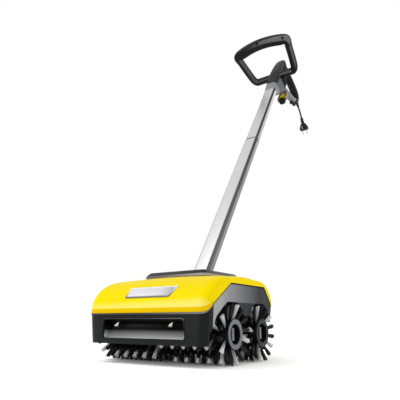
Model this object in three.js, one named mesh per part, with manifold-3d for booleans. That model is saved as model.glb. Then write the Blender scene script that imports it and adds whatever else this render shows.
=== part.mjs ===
// Electric patio cleaner: a two-axle scrubbing head with four tufted rollers, on a
// telescopic tube with a bow handle, a closed rear grip, a water tap and a short mains lead.
// Millimetres, +Z up. The front faces -Y, the handle leans back towards +Y. The pieces are laid
// out from the ground midway between the two axles, on the plane of symmetry. At the end the
// whole is moved along Y, so that the origin is below the middle of its bounding box.

import * as THREE from 'three';
import { mergeVertices } from 'three/addons/utils/BufferGeometryUtils.js';
import Module from 'manifold-3d';

const wasm = await Module();
wasm.setup();

// Clearances and cutting
const gap = 0.3;
const overrun = 6;
const slack = 0.004;
const roundSides = 14;
const caseSides = 12;

// Rollers
const brushRadius = 60;
const floorCut = 0.5;
const brushClearance = 0.4;
const axleRadius = 5;
const coreRadius = 23;
const flangeRadius = 30;
const flangeHoleRadius = 19.7;
const flangeThickness = 5;
const neckDepth = 3;
const recessDepth = 15;
const flangeStand = 6.4;
const firstRingX = 19.5;
const lastRingInset = 17.9;
const ringsOnRoller = 11;
const tuftsInRing = 10;
const tuftSides = 3;
const coreSides = 2 * tuftsInRing;
const tuftRootRadius = 2.6;
const tuftTipRadius = 6;
const tuftRootSink = 3;
const tuftSplay = 10;
const tuftTurn = THREE.MathUtils.degToRad(25.5);
const tuftOffDown = THREE.MathUtils.degToRad(7.5);
const lockHeight = 24;
const lockWidth = 7;
const lockDepth = 9;
const axleSpacing = 2 * (brushRadius + brushClearance);
const tuftTipHalf = tuftTipRadius * Math.sin(Math.PI / tuftSides);
const tuftTipAt = Math.sqrt(brushRadius ** 2 - tuftTipHalf ** 2);
const lowestTuft = tuftTipAt * Math.cos(tuftOffDown) + tuftTipHalf * Math.sin(tuftOffDown);
const axleHeight = lowestTuft - floorCut;
const axleY = axleSpacing / 2;

// Head shell
const bodyHalfWidth = 159.5;
const flangeFaceX = bodyHalfWidth + flangeStand;
const lastRingX = flangeFaceX - lastRingInset;
const bodyFrontY = -157;
const bodyRearY = 136.5;
const bodyBottomZ = 39.5;
const rearWallBottomZ = 83;
const bodyTopZ = 182;
const wallThickness = 3;
const frontCornerRadius = 23;
const rearCornerRadius = 18;
const topEdgeDrop = 5;
const bodyCrown = 5;
const seamZ = 101;
const creaseZ = 111;
const lowerDraft = 3;
const shoulderY = -70;
const shoulderDrop = 4;
const shoulderPower = 4 / 3;
const sideShoulderPower = 1;
const shoulderSteps = 7;
const rearShoulderY = 70;
const rearShoulderDrop = 3;
const rearShoulderSteps = 4;
const rearKneeZ = 124;
const rearDraft = 17;
const coverStep = 1;
const seamGap = 0.4;
const panelTopZ = 160.5;
const panelFrontY = -65;
const panelRearY = 88;
const rearSeamY = 124;
const rearSeamZ = 119;
const seamCornerY = -148;
const seamCornerRise = 3;
const seamMidY = -133;
const seamMidZ = 117.5;

// Side arches and front opening
const archTopZ = 122.3;
const archHalfTop = 19;
const archShoulderDrop = 10.8;
const archShoulderOut = 17;
const frontFootY = -138;
const frontFootZ = 60;
const archKneeY = -132.7;
const archKneeZ = 68.6;
const archBendY = -120.5;
const archBendZ = 94;
const toothHalfWidth = 10.5;
const toothTipZ = 95;
const rearFootY = 121;
const mouthTopHalfWidth = 106;
const mouthBottomHalfWidth = 112;
const mouthTopZ = 89.6;
const mouthBottomZ = 50.5;
const mouthCornerRadius = 4;

// Water path in the head
const scoopDepth = 27;
const scoopHeight = 36;
const scoopThickness = 2.5;
const scoopSteps = 6;
const cheekThickness = 2.5;
const scoopSideClearance = 1;
const sprayBarRadius = 4;
const sprayBarHalfLength = 95;
const sprayBarZ = 97;
const nozzleX = 73;
const nozzleLength = 16;
const nozzleSpoutLength = 8;
const nozzleCollarLength = 4;
const nozzleRootRadius = 3.6;
const nozzleTipRadius = 2.4;
const hoseRadius = 4;
const hoseX = -46;
const hoseSteps = 6;
const hoseDrop = 16;

// Brush roofs
const roofRadius = 62.6;
const roofThickness = 2.4;
const roofFrontAngle = THREE.MathUtils.degToRad(148);
const roofSteps = 9;

// Gearbox
const gearboxHalfWidth = 12.5;
const plateThickness = 4;
const rimThickness = 2.5;
const gearClearance = 1.4;
const gearFaceGap = 0.5;
const middlePlaneGap = 1.2;
const rowTeeth = 22;
const pinionTeeth = 11;
const wheelTeeth = 44;
const backlash = 0.7;
const addendumShare = 0.85;
const dedendumShare = 1.15;
const gearShaftRadius = 4;
const bearingRadius = 10;
const bearingGap = 0.3;
const motorRadius = 28;
const motorLength = 88;
const motorAxisZ = 133;
const motorShaftRadius = 3.5;
const motorShaftLength = 24;
const motorEndRadius = 14;
const motorEndLength = 8;

// Handle pivot
const tiltAngle = THREE.MathUtils.degToRad(32.8);
const tubeBaseY = 69;
const tubeBaseZ = 200.9;
const pivotBelow = 37;
const barrelRadius = 13;
const barrelHalfLength = 24;
const pinRadius = 5;
const pinHeadRadius = 8;
const pinHeadThickness = 3;
const earThickness = 5;
const earHalfDepth = 10;
const bracketHalfDepth = 18;
const bracketThickness = 4;
const spigotLength = 40;
const shoulderLength = 4;

// Top pad
const padHalfWidth = 86;
const padFrontY = -53;
const padRearY = 108;
const padTopZ = 193.5;
const padBottomZ = 170;
const padBandZ = 187;
const padBandInset = 1.5;
const padCornerRadius = 15;
const padTopInset = 11;
const slotHalfWidth = 24.5;
const slotFrontY = 36;
const slotRearY = 94;
const coverSlotHalfWidth = 36;
const coverSlotMargin = 2;

// Bare badge plate
const badgeTopWidth = 128;
const badgeBottomWidth = 122;
const badgeHeight = 31;
const badgeThickness = 2.2;
const badgeSlant = 3;
const badgeMiddleX = 2;
const badgeY = -132;
const badgeZ = 141.5;
const badgeLean = THREE.MathUtils.degToRad(50);

// Telescopic tube
const tubeWidth = 45;
const tubeDepth = 27;
const tubeWall = 1;
const tubeCornerRadius = 7;
const tubeSlip = 0.2;
const lowerTubeStart = -12;
const jointAt = 562.3;
const upperTubeStart = 300;
const upperTubeEnd = 910;
const bushLength = 5;
const heightButtonAt = 530;
const heightButtonRadius = 7;
const heightButtonCap = 3;
const heightButtonTravel = 3;
const heightStemRadius = 3;
const heightStemReach = 2;
const slideDown = 200;
const slideUp = 40;

// Bow handle
const bowAt = 1006.4;
const bowBeforeTube = 8;
const bowLean = THREE.MathUtils.degToRad(96);
const bowBaseHalfWidth = 89;
const bowTopHalfWidth = 110;
const bowReach = 138;
const bowRise = 20;
const bowCornerRadius = 20;
const bowCornerStart = 6;
const bowCornerRise = 2.4;
const bowShoulder = 32;
const bowKnee = 12;
const bowKneeRise = 3.6;
const barHalfWidth = 13.5;
const barHalfHeight = 13.5;
const gripHalfWidth = 16;
const gripHalfHeight = 16;
const bowScrewMiddleX = -12;
const bowScrewInset = 15;
const bowScrewRadius = 3.2;
const bowScrewDepth = 6;

// Control housing
const collarAt = 893;
const housingTopAt = 1159;
const hoodHalfWidth = 28;
const hoodFront = 26;
const hoodBack = 60;
const hoodSquareness = 0.62;
const gripBelowTop = 23;
const gripAt = housingTopAt - gripBelowTop;
const gripReach = 178;
const gripDip = 2;
const gripHeight = 128;
const rearGripRadius = 16;
const rearGripHalfWidth = 17.4;
const rearBendRadius = 15.2;
const rearBendHalfWidth = 13.6;
const strutRadius = 14;
const strutHalfWidth = 11.2;
const glandRadius = 7;
const glandTipRadius = 4.8;
const glandLength = 34;
const glandTaper = 20;
const triggerLength = 50;
const triggerRearInset = 28;
const triggerRearN = gripReach - triggerRearInset;
const triggerFrontN = triggerRearN - triggerLength;
const triggerHalfWidth = 6;
const triggerSink = 6;
const triggerTopAt = gripAt - triggerSink;
const triggerDrop = 22;
const triggerRearDrop = 13;
const triggerSlotMargin = 1.2;
const triggerPinRadius = 2;
const triggerPinHalf = 10;
const triggerPinInset = 5;
const triggerPinN = triggerFrontN + triggerPinInset;
const triggerPinAt = triggerTopAt - triggerPinInset;
const triggerSwing = 6;
const switchLength = 19;
const switchHeight = 17;
const switchToTrigger = 3;
const switchRearN = triggerFrontN - switchToTrigger;
const switchFrontN = switchRearN - switchLength;
const switchSink = 9;
const switchBottomAt = gripAt - switchSink;
const switchTopAt = switchBottomAt + switchHeight;
const switchHalfWidth = 8;
const lockOffToSwitch = 12;
const lockOffN = switchFrontN - lockOffToSwitch;
const lockOffHalfLength = 9;
const lockOffHalfWidth = 5;
const lockOffStand = 4;
const lockOffDepth = 8;
const lockOffTravel = 3;
const lockOffSeat = gripAt - gripDip + rearGripHalfWidth - lockOffDepth;
const inletN = 88;
const inletBelowGrip = 132;
const inletAt = gripAt - inletBelowGrip;
const inletBossRadius = 12;
const inletBossLength = 40;
const inletStemRadius = 7;
const inletSink = 10;
const tapStart = 1;
const tapLength = 26;
const tapRadius = 14;
const tapLobes = 8;
const tapLobeDepth = 1.6;
const connectorLength = 22;
const connectorRadius = 14.5;
const connectorCollarLength = 15.6;
const connectorTaperLength = 3.9;
const connectorThroatRadius = 11.6;
const nippleRadius = 8;
const nippleLength = 8;
const hookOut = 2;
const hookFromN = gripReach + hookOut;
const hookBelowGrip = 56;
const hookFromAt = gripAt - hookBelowGrip;
const hookRunN = 38;
const hookRunAt = 22;
const hookLength = 42;
const hookRootLength = 20;
const hookRoot = 8;
const hookPlate = 4;
const hookDrop = 18;
const hookHalfWidth = 6;

// Mains lead
const cordDiameter = 7;
const cordLength = 50;
const cordPoints = 16;
const cordExitOut = 36.4;
const cordExitBelowGrip = 24.6;
const cordLeavesAt = THREE.MathUtils.degToRad(-9.5);
const cordArrivesAt = THREE.MathUtils.degToRad(-28.5);
const cordSides = 8;
const reliefLength = 30;
const reliefTipRadius = 5;
const reliefRootRadius = 9;
const plugLength = 30;
const plugRootRadius = 13;
const plugFaceRadius = 19;
const prongRadius = 2.4;
const prongLength = 19;
const prongSpacing = 19;
const pullRingRadius = 8;
const pullRingThickness = 5;
const pullHoleRadius = 4.4;
const pullHoleOut = 3;

const finish = (color, roughness, metalness = 0) =>
  new THREE.MeshStandardMaterial({ color, roughness, metalness });

const materials = {
  blackShell: finish(0x2b2c2e, 0.55),
  yellowShell: finish(0xffe000, 0.35),
  darkInner: finish(0x1c1c1e, 0.7),
  greyTrim: finish(0x8d9093, 0.5),
  silver: finish(0xc9cbce, 0.35, 0.9),
  steel: finish(0xa8abb0, 0.3, 1),
  gearPlastic: finish(0xe4e0d2, 0.5),
  bristle: finish(0x3a3a3c, 0.8),
  softBlack: finish(0x1f1f21, 0.85),
  handleGrey: finish(0x4a4c50, 0.55),
  brass: finish(0xb8a050, 0.35, 0.9),
  cordBlack: finish(0x151517, 0.7),
};

// Turns a closed geometry into a solid that can be cut and joined.
function toSolid(geometry) {
  const bare = geometry.clone();
  bare.deleteAttribute('normal');
  bare.deleteAttribute('uv');
  const merged = mergeVertices(bare);
  const vertProperties = new Float32Array(merged.attributes.position.array);
  const triVerts = new Uint32Array(merged.index.array);
  return new wasm.Manifold(new wasm.Mesh({ numProp: 3, vertProperties, triVerts }));
}

function toGeometry(solid) {
  const mesh = solid.simplify(slack).getMesh();
  const geometry = new THREE.BufferGeometry();
  geometry.setAttribute('position', new THREE.BufferAttribute(mesh.vertProperties, mesh.numProp));
  geometry.setIndex(new THREE.BufferAttribute(mesh.triVerts, 1));
  geometry.computeVertexNormals();
  return geometry;
}

const join = (first, ...rest) => rest.reduce((sum, next) => sum.add(next), first);
const cut = (first, ...rest) => rest.reduce((left, tool) => left.subtract(tool), first);

function addPart(group, name, shape, material) {
  const geometry = shape.isBufferGeometry ? shape : toGeometry(shape);
  const mesh = new THREE.Mesh(geometry, material);
  mesh.name = name;
  group.add(mesh);
  return mesh;
}

// An outline is a list of pairs. Its two axes are named by the function that extrudes it.
function extrude(outline, length, basis) {
  const shape = new THREE.Shape(outline.map(([a, b]) => new THREE.Vector2(a, b)));
  const geometry = new THREE.ExtrudeGeometry(shape, { depth: length, bevelEnabled: false });
  return toSolid(geometry.applyMatrix4(basis));
}

// Outline of (y, z) pairs, extruded along X.
function alongX(outline, from, to) {
  const basis = new THREE.Matrix4().set(0, 0, 1, from, 1, 0, 0, 0, 0, 1, 0, 0, 0, 0, 0, 1);
  return extrude(outline, to - from, basis);
}

// Outline of (x, z) pairs, extruded along Y.
function alongY(outline, from, to) {
  const basis = new THREE.Matrix4().set(1, 0, 0, 0, 0, 0, -1, to, 0, 1, 0, 0, 0, 0, 0, 1);
  return extrude(outline, to - from, basis);
}

// Outline of (x, y) pairs, extruded along Z.
function alongZ(outline, from, to) {
  return extrude(outline, to - from, new THREE.Matrix4().makeTranslation(0, 0, from));
}

function box(x0, x1, y0, y1, z0, z1) {
  return alongZ([[x0, y0], [x1, y0], [x1, y1], [x0, y1]], z0, z1);
}

function circle(radius, centreA = 0, centreB = 0, sides = roundSides, turn = 0) {
  return Array.from({ length: sides }, (_, index) => {
    const angle = turn + (2 * Math.PI * index) / sides;
    return [centreA + radius * Math.cos(angle), centreB + radius * Math.sin(angle)];
  });
}

const rodX = (radius, from, to, y, z, sides = roundSides) =>
  alongX(circle(radius, y, z, sides), from, to);

// A turned piece about Z, from (radius, z) pairs that start and end on the axis.
function turned(profile, sides = roundSides) {
  return toSolid(new THREE.LatheGeometry(profile.map(([r, z]) => new THREE.Vector2(r, z)), sides)
    .rotateX(Math.PI / 2));
}

// Joins rings of points into one closed skin. Each end ring is convex, and closed by a fan.
function loft(rings, closed = false) {
  const count = rings[0].length;
  const points = rings.flat();
  const faces = [];
  const spans = closed ? rings.length : rings.length - 1;
  for (let ring = 0; ring < spans; ring += 1) {
    const next = (ring + 1) % rings.length;
    for (let side = 0; side < count; side += 1) {
      const after = (side + 1) % count;
      const a = ring * count + side;
      const b = ring * count + after;
      const c = next * count + after;
      const d = next * count + side;
      faces.push(a, b, c, a, c, d);
    }
  }
  if (!closed) {
    const end = (rings.length - 1) * count;
    for (let side = 1; side < count - 1; side += 1) {
      faces.push(0, side + 1, side, end, end + side, end + side + 1);
    }
  }
  let volume = 0;
  for (let face = 0; face < faces.length; face += 3) {
    const [p, q, r] = [points[faces[face]], points[faces[face + 1]], points[faces[face + 2]]];
    volume += p.dot(q.clone().cross(r));
  }
  if (volume < 0) faces.reverse();
  const geometry = new THREE.BufferGeometry().setFromPoints(points);
  geometry.setIndex(faces);
  return toSolid(geometry);
}

// Carries an oval section along a flat path. Each path entry holds a point and the two half
// sizes of the section: across the path in its plane, and square to the plane.
function sweep(path, planeNormal, sides, closed = false) {
  const last = path.length - 1;
  const rings = path.map((entry, index) => {
    const before = path[closed ? (index + last) % path.length : Math.max(index - 1, 0)];
    const after = path[closed ? (index + 1) % path.length : Math.min(index + 1, last)];
    const along = after.point.clone().sub(before.point).normalize();
    const across = along.clone().cross(planeNormal).normalize();
    return circle(1, 0, 0, sides, Math.PI / sides).map(([a, b]) => entry.point.clone()
      .addScaledVector(across, a * entry.half[0])
      .addScaledVector(planeNormal, b * entry.half[1]));
  });
  return loft(rings, closed);
}

// Rounded rectangle as (a, b) pairs, with arcs of the given number of steps at its corners.
function roundedBox(a0, a1, b0, b1, radius, steps = 3) {
  const corners = [[a1, b1, 0], [a0, b1, 1], [a0, b0, 2], [a1, b0, 3]];
  return corners.flatMap(([a, b, quarter]) => {
    const centreA = a + (a === a1 ? -radius : radius);
    const centreB = b + (b === b1 ? -radius : radius);
    return Array.from({ length: steps + 1 }, (_, index) => {
      const angle = (quarter + index / steps) * (Math.PI / 2);
      return [centreA + radius * Math.cos(angle), centreB + radius * Math.sin(angle)];
    });
  });
}

const mirrorX = (solid) => solid.mirror([1, 0, 0]);

// Head shell: side outline, swept across the width with rounded plan corners and a crown. The
// front shoulder grows fuller towards the sides, as its power falls to that of an ellipse.
function bodyProfile(inset, bottom, power) {
  const front = bodyFrontY + inset;
  const rear = bodyRearY - inset;
  const top = bodyTopZ - inset;
  const bow = (steps, exponent, place) => Array.from({ length: steps + 1 }, (_, index) => {
    const angle = (index / steps) * (Math.PI / 2);
    return place(Math.cos(angle) ** exponent, Math.sin(angle) ** exponent);
  });
  const frontTop = top - shoulderDrop;
  const rearTop = top - rearShoulderDrop;
  return [
    [front + lowerDraft, bottom],
    [front, seamZ],
    ...bow(shoulderSteps, power, (reach, rise) =>
      [shoulderY - (shoulderY - front) * reach, creaseZ + (frontTop - creaseZ) * rise]),
    [0, top],
    ...bow(rearShoulderSteps, 1, (rise, reach) =>
      [rearShoulderY + (rear - rearShoulderY) * reach, rearKneeZ + (rearTop - rearKneeZ) * rise]),
    [rear - rearDraft, bottom],
  ];
}

function bodySolid(inset, bottom) {
  const halfWidth = bodyHalfWidth - inset;
  const arcSteps = 4;
  const flat = halfWidth - frontCornerRadius;
  const stations = [0, flat / 2];
  for (let index = 0; index <= arcSteps; index += 1) {
    stations.push(flat + frontCornerRadius * Math.sin((index / arcSteps) * (Math.PI / 2)));
  }
  const allStations = [...stations.slice(1).reverse().map((x) => -x), ...stations];
  const middleY = (bodyFrontY + bodyRearY) / 2;
  const halfDepth = (bodyRearY - bodyFrontY) / 2 - inset;
  const height = bodyTopZ - inset - bottom;
  const drawnIn = (x, radius) => {
    const past = Math.min(1, Math.max(0, Math.abs(x) - halfWidth + radius) / radius);
    return 1 - Math.sqrt(1 - past * past);
  };
  return loft(allStations.map((x) => {
    const edge = drawnIn(x, frontCornerRadius);
    const frontShare = 1 - (frontCornerRadius * edge) / halfDepth;
    const rearShare = 1 - (rearCornerRadius * drawnIn(x, rearCornerRadius)) / halfDepth;
    const drop = bodyCrown * (x / halfWidth) ** 2 + topEdgeDrop * edge;
    const power = shoulderPower + (sideShoulderPower - shoulderPower) * (x / halfWidth) ** 4;
    return bodyProfile(inset, bottom, power).map(([y, z]) => new THREE.Vector3(
      x,
      middleY + (y - middleY) * (y < middleY ? frontShare : rearShare),
      bottom + (z - bottom) * (1 - drop / height),
    ));
  }));
}

// The line that parts the yellow cover from the black housing, seen from the side.
function seamOutline(lift, edgeZ) {
  const front = bodyFrontY - overrun;
  const rear = bodyRearY + overrun;
  return [
    [front, edgeZ], [front, seamZ + lift], [bodyFrontY + lowerDraft, seamZ + lift],
    [seamCornerY, seamZ + seamCornerRise + lift], [seamMidY, seamMidZ + lift],
    [panelFrontY, panelTopZ + lift], [panelRearY, panelTopZ + lift],
    [rearSeamY, rearSeamZ + lift], [rear, rearSeamZ + lift], [rear, edgeZ],
  ];
}

function buildShell(group) {
  const farX = bodyHalfWidth + overrun;
  const inner = bodySolid(wallThickness, bodyBottomZ - overrun);
  const below = alongX(seamOutline(-seamGap / 2, bodyBottomZ - 2 * overrun), -farX, farX);
  const above = alongX(seamOutline(seamGap / 2, bodyTopZ + 2 * overrun), -farX, farX);
  const archOutline = [
    [frontFootY, bodyBottomZ - overrun], [frontFootY, frontFootZ], [archKneeY, archKneeZ],
    [archBendY, archBendZ], [-axleY - archHalfTop - archShoulderOut, archTopZ - archShoulderDrop],
    [-axleY - archHalfTop, archTopZ], [-axleY + archHalfTop, archTopZ],
    [-axleY + archHalfTop + archShoulderOut, archTopZ - archShoulderDrop],
    [-toothHalfWidth, toothTipZ], [toothHalfWidth, toothTipZ],
    [axleY - archHalfTop - archShoulderOut, archTopZ - archShoulderDrop],
    [axleY - archHalfTop, archTopZ], [axleY + archHalfTop, archTopZ],
    [axleY + archHalfTop + archShoulderOut, archTopZ - archShoulderDrop],
    [rearFootY, rearWallBottomZ], [bodyRearY + overrun, rearWallBottomZ],
    [bodyRearY + overrun, bodyBottomZ - overrun],
  ];
  const arches = alongX(archOutline, -farX, farX);
  const mouth = alongY(mouthOutline(), bodyFrontY - overrun, bodyFrontY + 2 * overrun);
  const housing = cut(bodySolid(0, bodyBottomZ).intersect(below), inner, arches, mouth);
  addPart(group, 'lower_housing', housing, materials.blackShell);

  const slot = box(
    -coverSlotHalfWidth, coverSlotHalfWidth,
    slotFrontY - coverSlotMargin, slotRearY + coverSlotMargin,
    bodyTopZ - 4 * overrun, bodyTopZ + overrun,
  );
  const cover = cut(bodySolid(-coverStep, bodyBottomZ).intersect(above), inner, slot);
  addPart(group, 'top_cover', cover, materials.yellowShell);
}

function mouthOutline() {
  const slope = (mouthBottomHalfWidth - mouthTopHalfWidth) / (mouthTopZ - mouthBottomZ);
  const radius = mouthCornerRadius;
  const right = [
    [mouthBottomHalfWidth - radius, mouthBottomZ],
    [mouthBottomHalfWidth - slope * radius, mouthBottomZ + radius],
    [mouthTopHalfWidth + slope * radius, mouthTopZ - radius],
    [mouthTopHalfWidth - radius, mouthTopZ],
  ];
  return [...right, ...right.map(([x, z]) => [-x, z]).reverse()];
}

function buildPad(group) {
  const ring = (inset, z) => roundedBox(
    -padHalfWidth + inset, padHalfWidth - inset, padFrontY + inset, padRearY - inset,
    padCornerRadius - inset, 4,
  ).map(([x, y]) => new THREE.Vector3(x, y, z));
  const plate = loft([
    ring(0, padBottomZ), ring(0, padBandZ - padBandInset), ring(padBandInset, padBandZ),
    ring(padTopInset, padTopZ),
  ]);
  const slot = box(
    -slotHalfWidth, slotHalfWidth, slotFrontY, slotRearY, padBottomZ - overrun, padTopZ + overrun,
  );
  const pad = cut(plate, bodySolid(-coverStep - gap, bodyBottomZ), slot);
  addPart(group, 'top_pad', pad, materials.blackShell);
}

// A bare slanted plate that lies on the sloping front of the cover.
function buildBadge(group) {
  const half = badgeHeight / 2;
  const topMiddle = badgeMiddleX + badgeSlant;
  const bottomMiddle = badgeMiddleX - badgeSlant;
  const outline = [
    [bottomMiddle - badgeBottomWidth / 2, -half], [bottomMiddle + badgeBottomWidth / 2, -half],
    [topMiddle + badgeTopWidth / 2, half], [topMiddle - badgeTopWidth / 2, half],
  ];
  const thick = 4 * badgeThickness;
  const plate = alongZ(outline, -thick, thick)
    .rotate([90 - THREE.MathUtils.radToDeg(badgeLean), 0, 0])
    .translate([0, badgeY, badgeZ]);
  const skin = cut(
    bodySolid(-coverStep - gap - badgeThickness, bodyBottomZ),
    bodySolid(-coverStep - gap, bodyBottomZ - overrun),
  );
  const inFront = box(
    -bodyHalfWidth, bodyHalfWidth, 2 * bodyFrontY, shoulderY, creaseZ, bodyTopZ + overrun,
  );
  addPart(group, 'badge_plate', plate.intersect(skin).intersect(inFront), materials.silver);
}

function buildWater(group) {
  const startY = bodyFrontY + lowerDraft + wallThickness + gap;
  const centreZ = mouthBottomZ + scoopHeight;
  const arc = (extra) => Array.from({ length: scoopSteps + 1 }, (_, index) => {
    const angle = (index / scoopSteps) * (Math.PI / 2);
    return [
      startY + (scoopDepth + extra) * Math.sin(angle),
      centreZ - (scoopHeight + extra) * Math.cos(angle),
    ];
  });
  const scoopOutline = [...arc(0), ...arc(scoopThickness).reverse()];
  const scoopHalf = mouthBottomHalfWidth - scoopSideClearance;
  const cheekOutline = [[startY, centreZ], ...arc(scoopThickness)];
  const deflector = join(
    alongX(scoopOutline, -scoopHalf, scoopHalf),
    alongX(cheekOutline, -scoopHalf, cheekThickness - scoopHalf),
    alongX(cheekOutline, scoopHalf - cheekThickness, scoopHalf),
  );
  addPart(group, 'water_deflector', deflector, materials.greyTrim);

  const barY = bodyFrontY + wallThickness + gap + sprayBarRadius;
  const bar = rodX(sprayBarRadius, -sprayBarHalfLength, sprayBarHalfLength, barY, sprayBarZ, 10);
  addPart(group, 'spray_bar', bar, materials.darkInner);
  for (const [side, sign] of [['left', -1], ['right', 1]]) {
    const top = sprayBarZ - sprayBarRadius - gap;
    const nozzle = turned([
      [0, -nozzleLength], [nozzleTipRadius, -nozzleLength],
      [nozzleTipRadius, nozzleSpoutLength - nozzleLength],
      [nozzleRootRadius, -nozzleCollarLength], [nozzleRootRadius, 0], [0, 0],
    ], 10).translate([sign * nozzleX, barY, top]);
    addPart(group, `spray_nozzle_${side}`, nozzle, materials.silver);
  }

  const route = new THREE.CatmullRomCurve3([
    [pivotPoint.y, pivotPoint.z - barrelRadius], [0, panelTopZ], [shoulderY, panelTopZ - hoseRadius],
    [seamMidY + hoseRadius, creaseZ + hoseDrop],
    [barY, sprayBarZ + hoseDrop], [barY, sprayBarZ + sprayBarRadius + gap],
  ].map(([y, z]) => new THREE.Vector3(hoseX, y, z)));
  const section = new THREE.Shape(circle(hoseRadius, 0, 0, 8).map(([a, b]) => new THREE.Vector2(a, b)));
  const hose = new THREE.ExtrudeGeometry(section, { steps: hoseSteps, extrudePath: route });
  addPart(group, 'feed_hose', toSolid(hose), materials.softBlack);
}

// Two roofs over the rollers, left and right of the gearbox, that keep water from the motor.
function buildRoofs(group) {
  const valleyAngle = (radius) => Math.acos(axleY / radius);
  const arcs = (radius) => {
    const end = valleyAngle(radius);
    const front = Array.from({ length: roofSteps + 1 }, (_, index) => {
      const angle = roofFrontAngle + (end - roofFrontAngle) * (index / roofSteps);
      return [-axleY + radius * Math.cos(angle), axleHeight + radius * Math.sin(angle)];
    });
    return [...front, ...front.slice(0, -1).reverse().map(([y, z]) => [-y, z])];
  };
  const outline = [...arcs(roofRadius), ...arcs(roofRadius + roofThickness).reverse()];
  const inside = gearboxHalfWidth + gap;
  const roof = alongX(outline, inside, bodyHalfWidth)
    .intersect(bodySolid(wallThickness + gap, bodyBottomZ));
  addPart(group, 'brush_roof_right', roof, materials.darkInner);
  addPart(group, 'brush_roof_left', mirrorX(roof), materials.darkInner);
}

// Gear train, all in the plane of the two axles. Four like gears stand in a row, so that the
// rollers turn against each other. A double wheel steps the motor down to the first idler.
const rowRadius = axleSpacing / 6;
const rowModule = (2 * rowRadius) / rowTeeth;
const pinionRadius = (pinionTeeth * rowModule) / 2;
const idlerY = rowRadius;
const wheelCentre = { y: -idlerY, z: axleHeight + rowRadius + pinionRadius };
const motorCentre = { y: 0, z: motorAxisZ };
const reductionLength = Math.hypot(motorCentre.y - wheelCentre.y, motorCentre.z - wheelCentre.z);
const reductionModule = (2 * reductionLength) / (wheelTeeth + pinionTeeth);
const wheelRadius = (wheelTeeth * reductionModule) / 2;
const motorPinionRadius = (pinionTeeth * reductionModule) / 2;
const meshAngle = Math.atan2(motorCentre.z - wheelCentre.z, motorCentre.y - wheelCentre.y);
const toothTurn = (teeth) => Math.PI / teeth;
const innerHalf = gearboxHalfWidth - plateThickness;
const leftGears = [-innerHalf + gearFaceGap, -middlePlaneGap / 2];
const rightGears = [middlePlaneGap / 2, innerHalf - gearFaceGap];
const pivotPoint = {
  y: tubeBaseY - pivotBelow * Math.sin(tiltAngle),
  z: tubeBaseZ - pivotBelow * Math.cos(tiltAngle),
};

// Gear outline in (y, z), with the middle of one tooth at the given angle.
function gearOutline(teeth, pitchRadius, centre, turn) {
  const module = (2 * pitchRadius) / teeth;
  const tip = pitchRadius + addendumShare * module;
  const root = pitchRadius - dedendumShare * module;
  const pitchHalf = ((Math.PI * module) / 2 - backlash) / 2;
  const slope = Math.tan(THREE.MathUtils.degToRad(20));
  const rootHalf = (pitchHalf + slope * dedendumShare * module) / root;
  const tipHalf = (pitchHalf - slope * addendumShare * module) / tip;
  return Array.from({ length: teeth }, (_, tooth) => {
    const middle = turn + (2 * Math.PI * tooth) / teeth;
    return [[root, -rootHalf], [tip, -tipHalf], [tip, tipHalf], [root, rootHalf]]
      .map(([radius, half]) => [
        centre.y + radius * Math.cos(middle + half),
        centre.z + radius * Math.sin(middle + half),
      ]);
  }).flat();
}

// The convex outline round a set of points, by a walk along its lower and upper sides.
function hull(points) {
  const sorted = [...points].sort((p, q) => p[0] - q[0] || p[1] - q[1]);
  const turnOf = (o, a, b) => (a[0] - o[0]) * (b[1] - o[1]) - (a[1] - o[1]) * (b[0] - o[0]);
  const side = (list) => {
    const kept = [];
    for (const point of list) {
      while (kept.length > 1 && turnOf(kept.at(-2), kept.at(-1), point) <= 0) kept.pop();
      kept.push(point);
    }
    return kept.slice(0, -1);
  };
  return [...side(sorted), ...side(sorted.reverse())];
}

function gearboxOutline(extra) {
  const around = (centre, radius) => circle(radius + gearClearance + extra, centre.y, centre.z, caseSides);
  return hull([
    ...around({ y: -axleY, z: axleHeight }, rowRadius + addendumShare * rowModule),
    ...around({ y: axleY, z: axleHeight }, rowRadius + addendumShare * rowModule),
    ...around(wheelCentre, wheelRadius + addendumShare * reductionModule),
    ...around(motorCentre, motorPinionRadius + addendumShare * reductionModule),
  ]);
}

function buildGearbox(group) {
  const outside = gearboxOutline(rimThickness);
  const inside = gearboxOutline(0);
  const bearingBores = (from, to) => [-axleY, axleY]
    .map((y) => rodX(bearingRadius + gap, from, to, y, axleHeight));
  const far = gearboxHalfWidth + overrun;
  const left = cut(
    alongX(outside, -gearboxHalfWidth, -gap / 2), alongX(inside, -innerHalf, overrun),
    ...bearingBores(-far, 0),
  );
  const shaftHole = rodX(
    motorShaftRadius + 2 * gap, 0, far, motorCentre.y, motorCentre.z,
  );
  const right = cut(
    alongX(outside, gap / 2, gearboxHalfWidth), alongX(inside, -overrun, innerHalf),
    ...bearingBores(0, far), shaftHole,
  );
  const postRadius = gearShaftRadius - gap;
  const post = (y, z, from, to) => rodX(postRadius, from, to, y, z, 12);
  const leftPosts = join(
    left, post(-idlerY, axleHeight, -innerHalf - gap, leftGears[1]),
    post(idlerY, axleHeight, -innerHalf - gap, leftGears[1]),
    post(wheelCentre.y, wheelCentre.z, -innerHalf - gap, innerHalf - gearFaceGap),
  );
  addPart(group, 'gearbox_shell_left', leftPosts, materials.darkInner);
  addPart(group, 'gearbox_shell_right', right, materials.darkInner);

  for (const [end, sign] of [['front', -1], ['rear', 1]]) {
    for (const [side, hand] of [['left', -1], ['right', 1]]) {
      const faces = [innerHalf, gearboxHalfWidth].map((x) => hand * x).sort((a, b) => a - b);
      const ring = cut(
        rodX(bearingRadius, faces[0], faces[1], sign * axleY, axleHeight, 12),
        rodX(axleRadius + bearingGap, faces[0] - overrun, faces[1] + overrun,
          sign * axleY, axleHeight),
      );
      addPart(group, `${end}_bearing_${side}`, ring, materials.steel);
    }
  }
}

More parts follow.
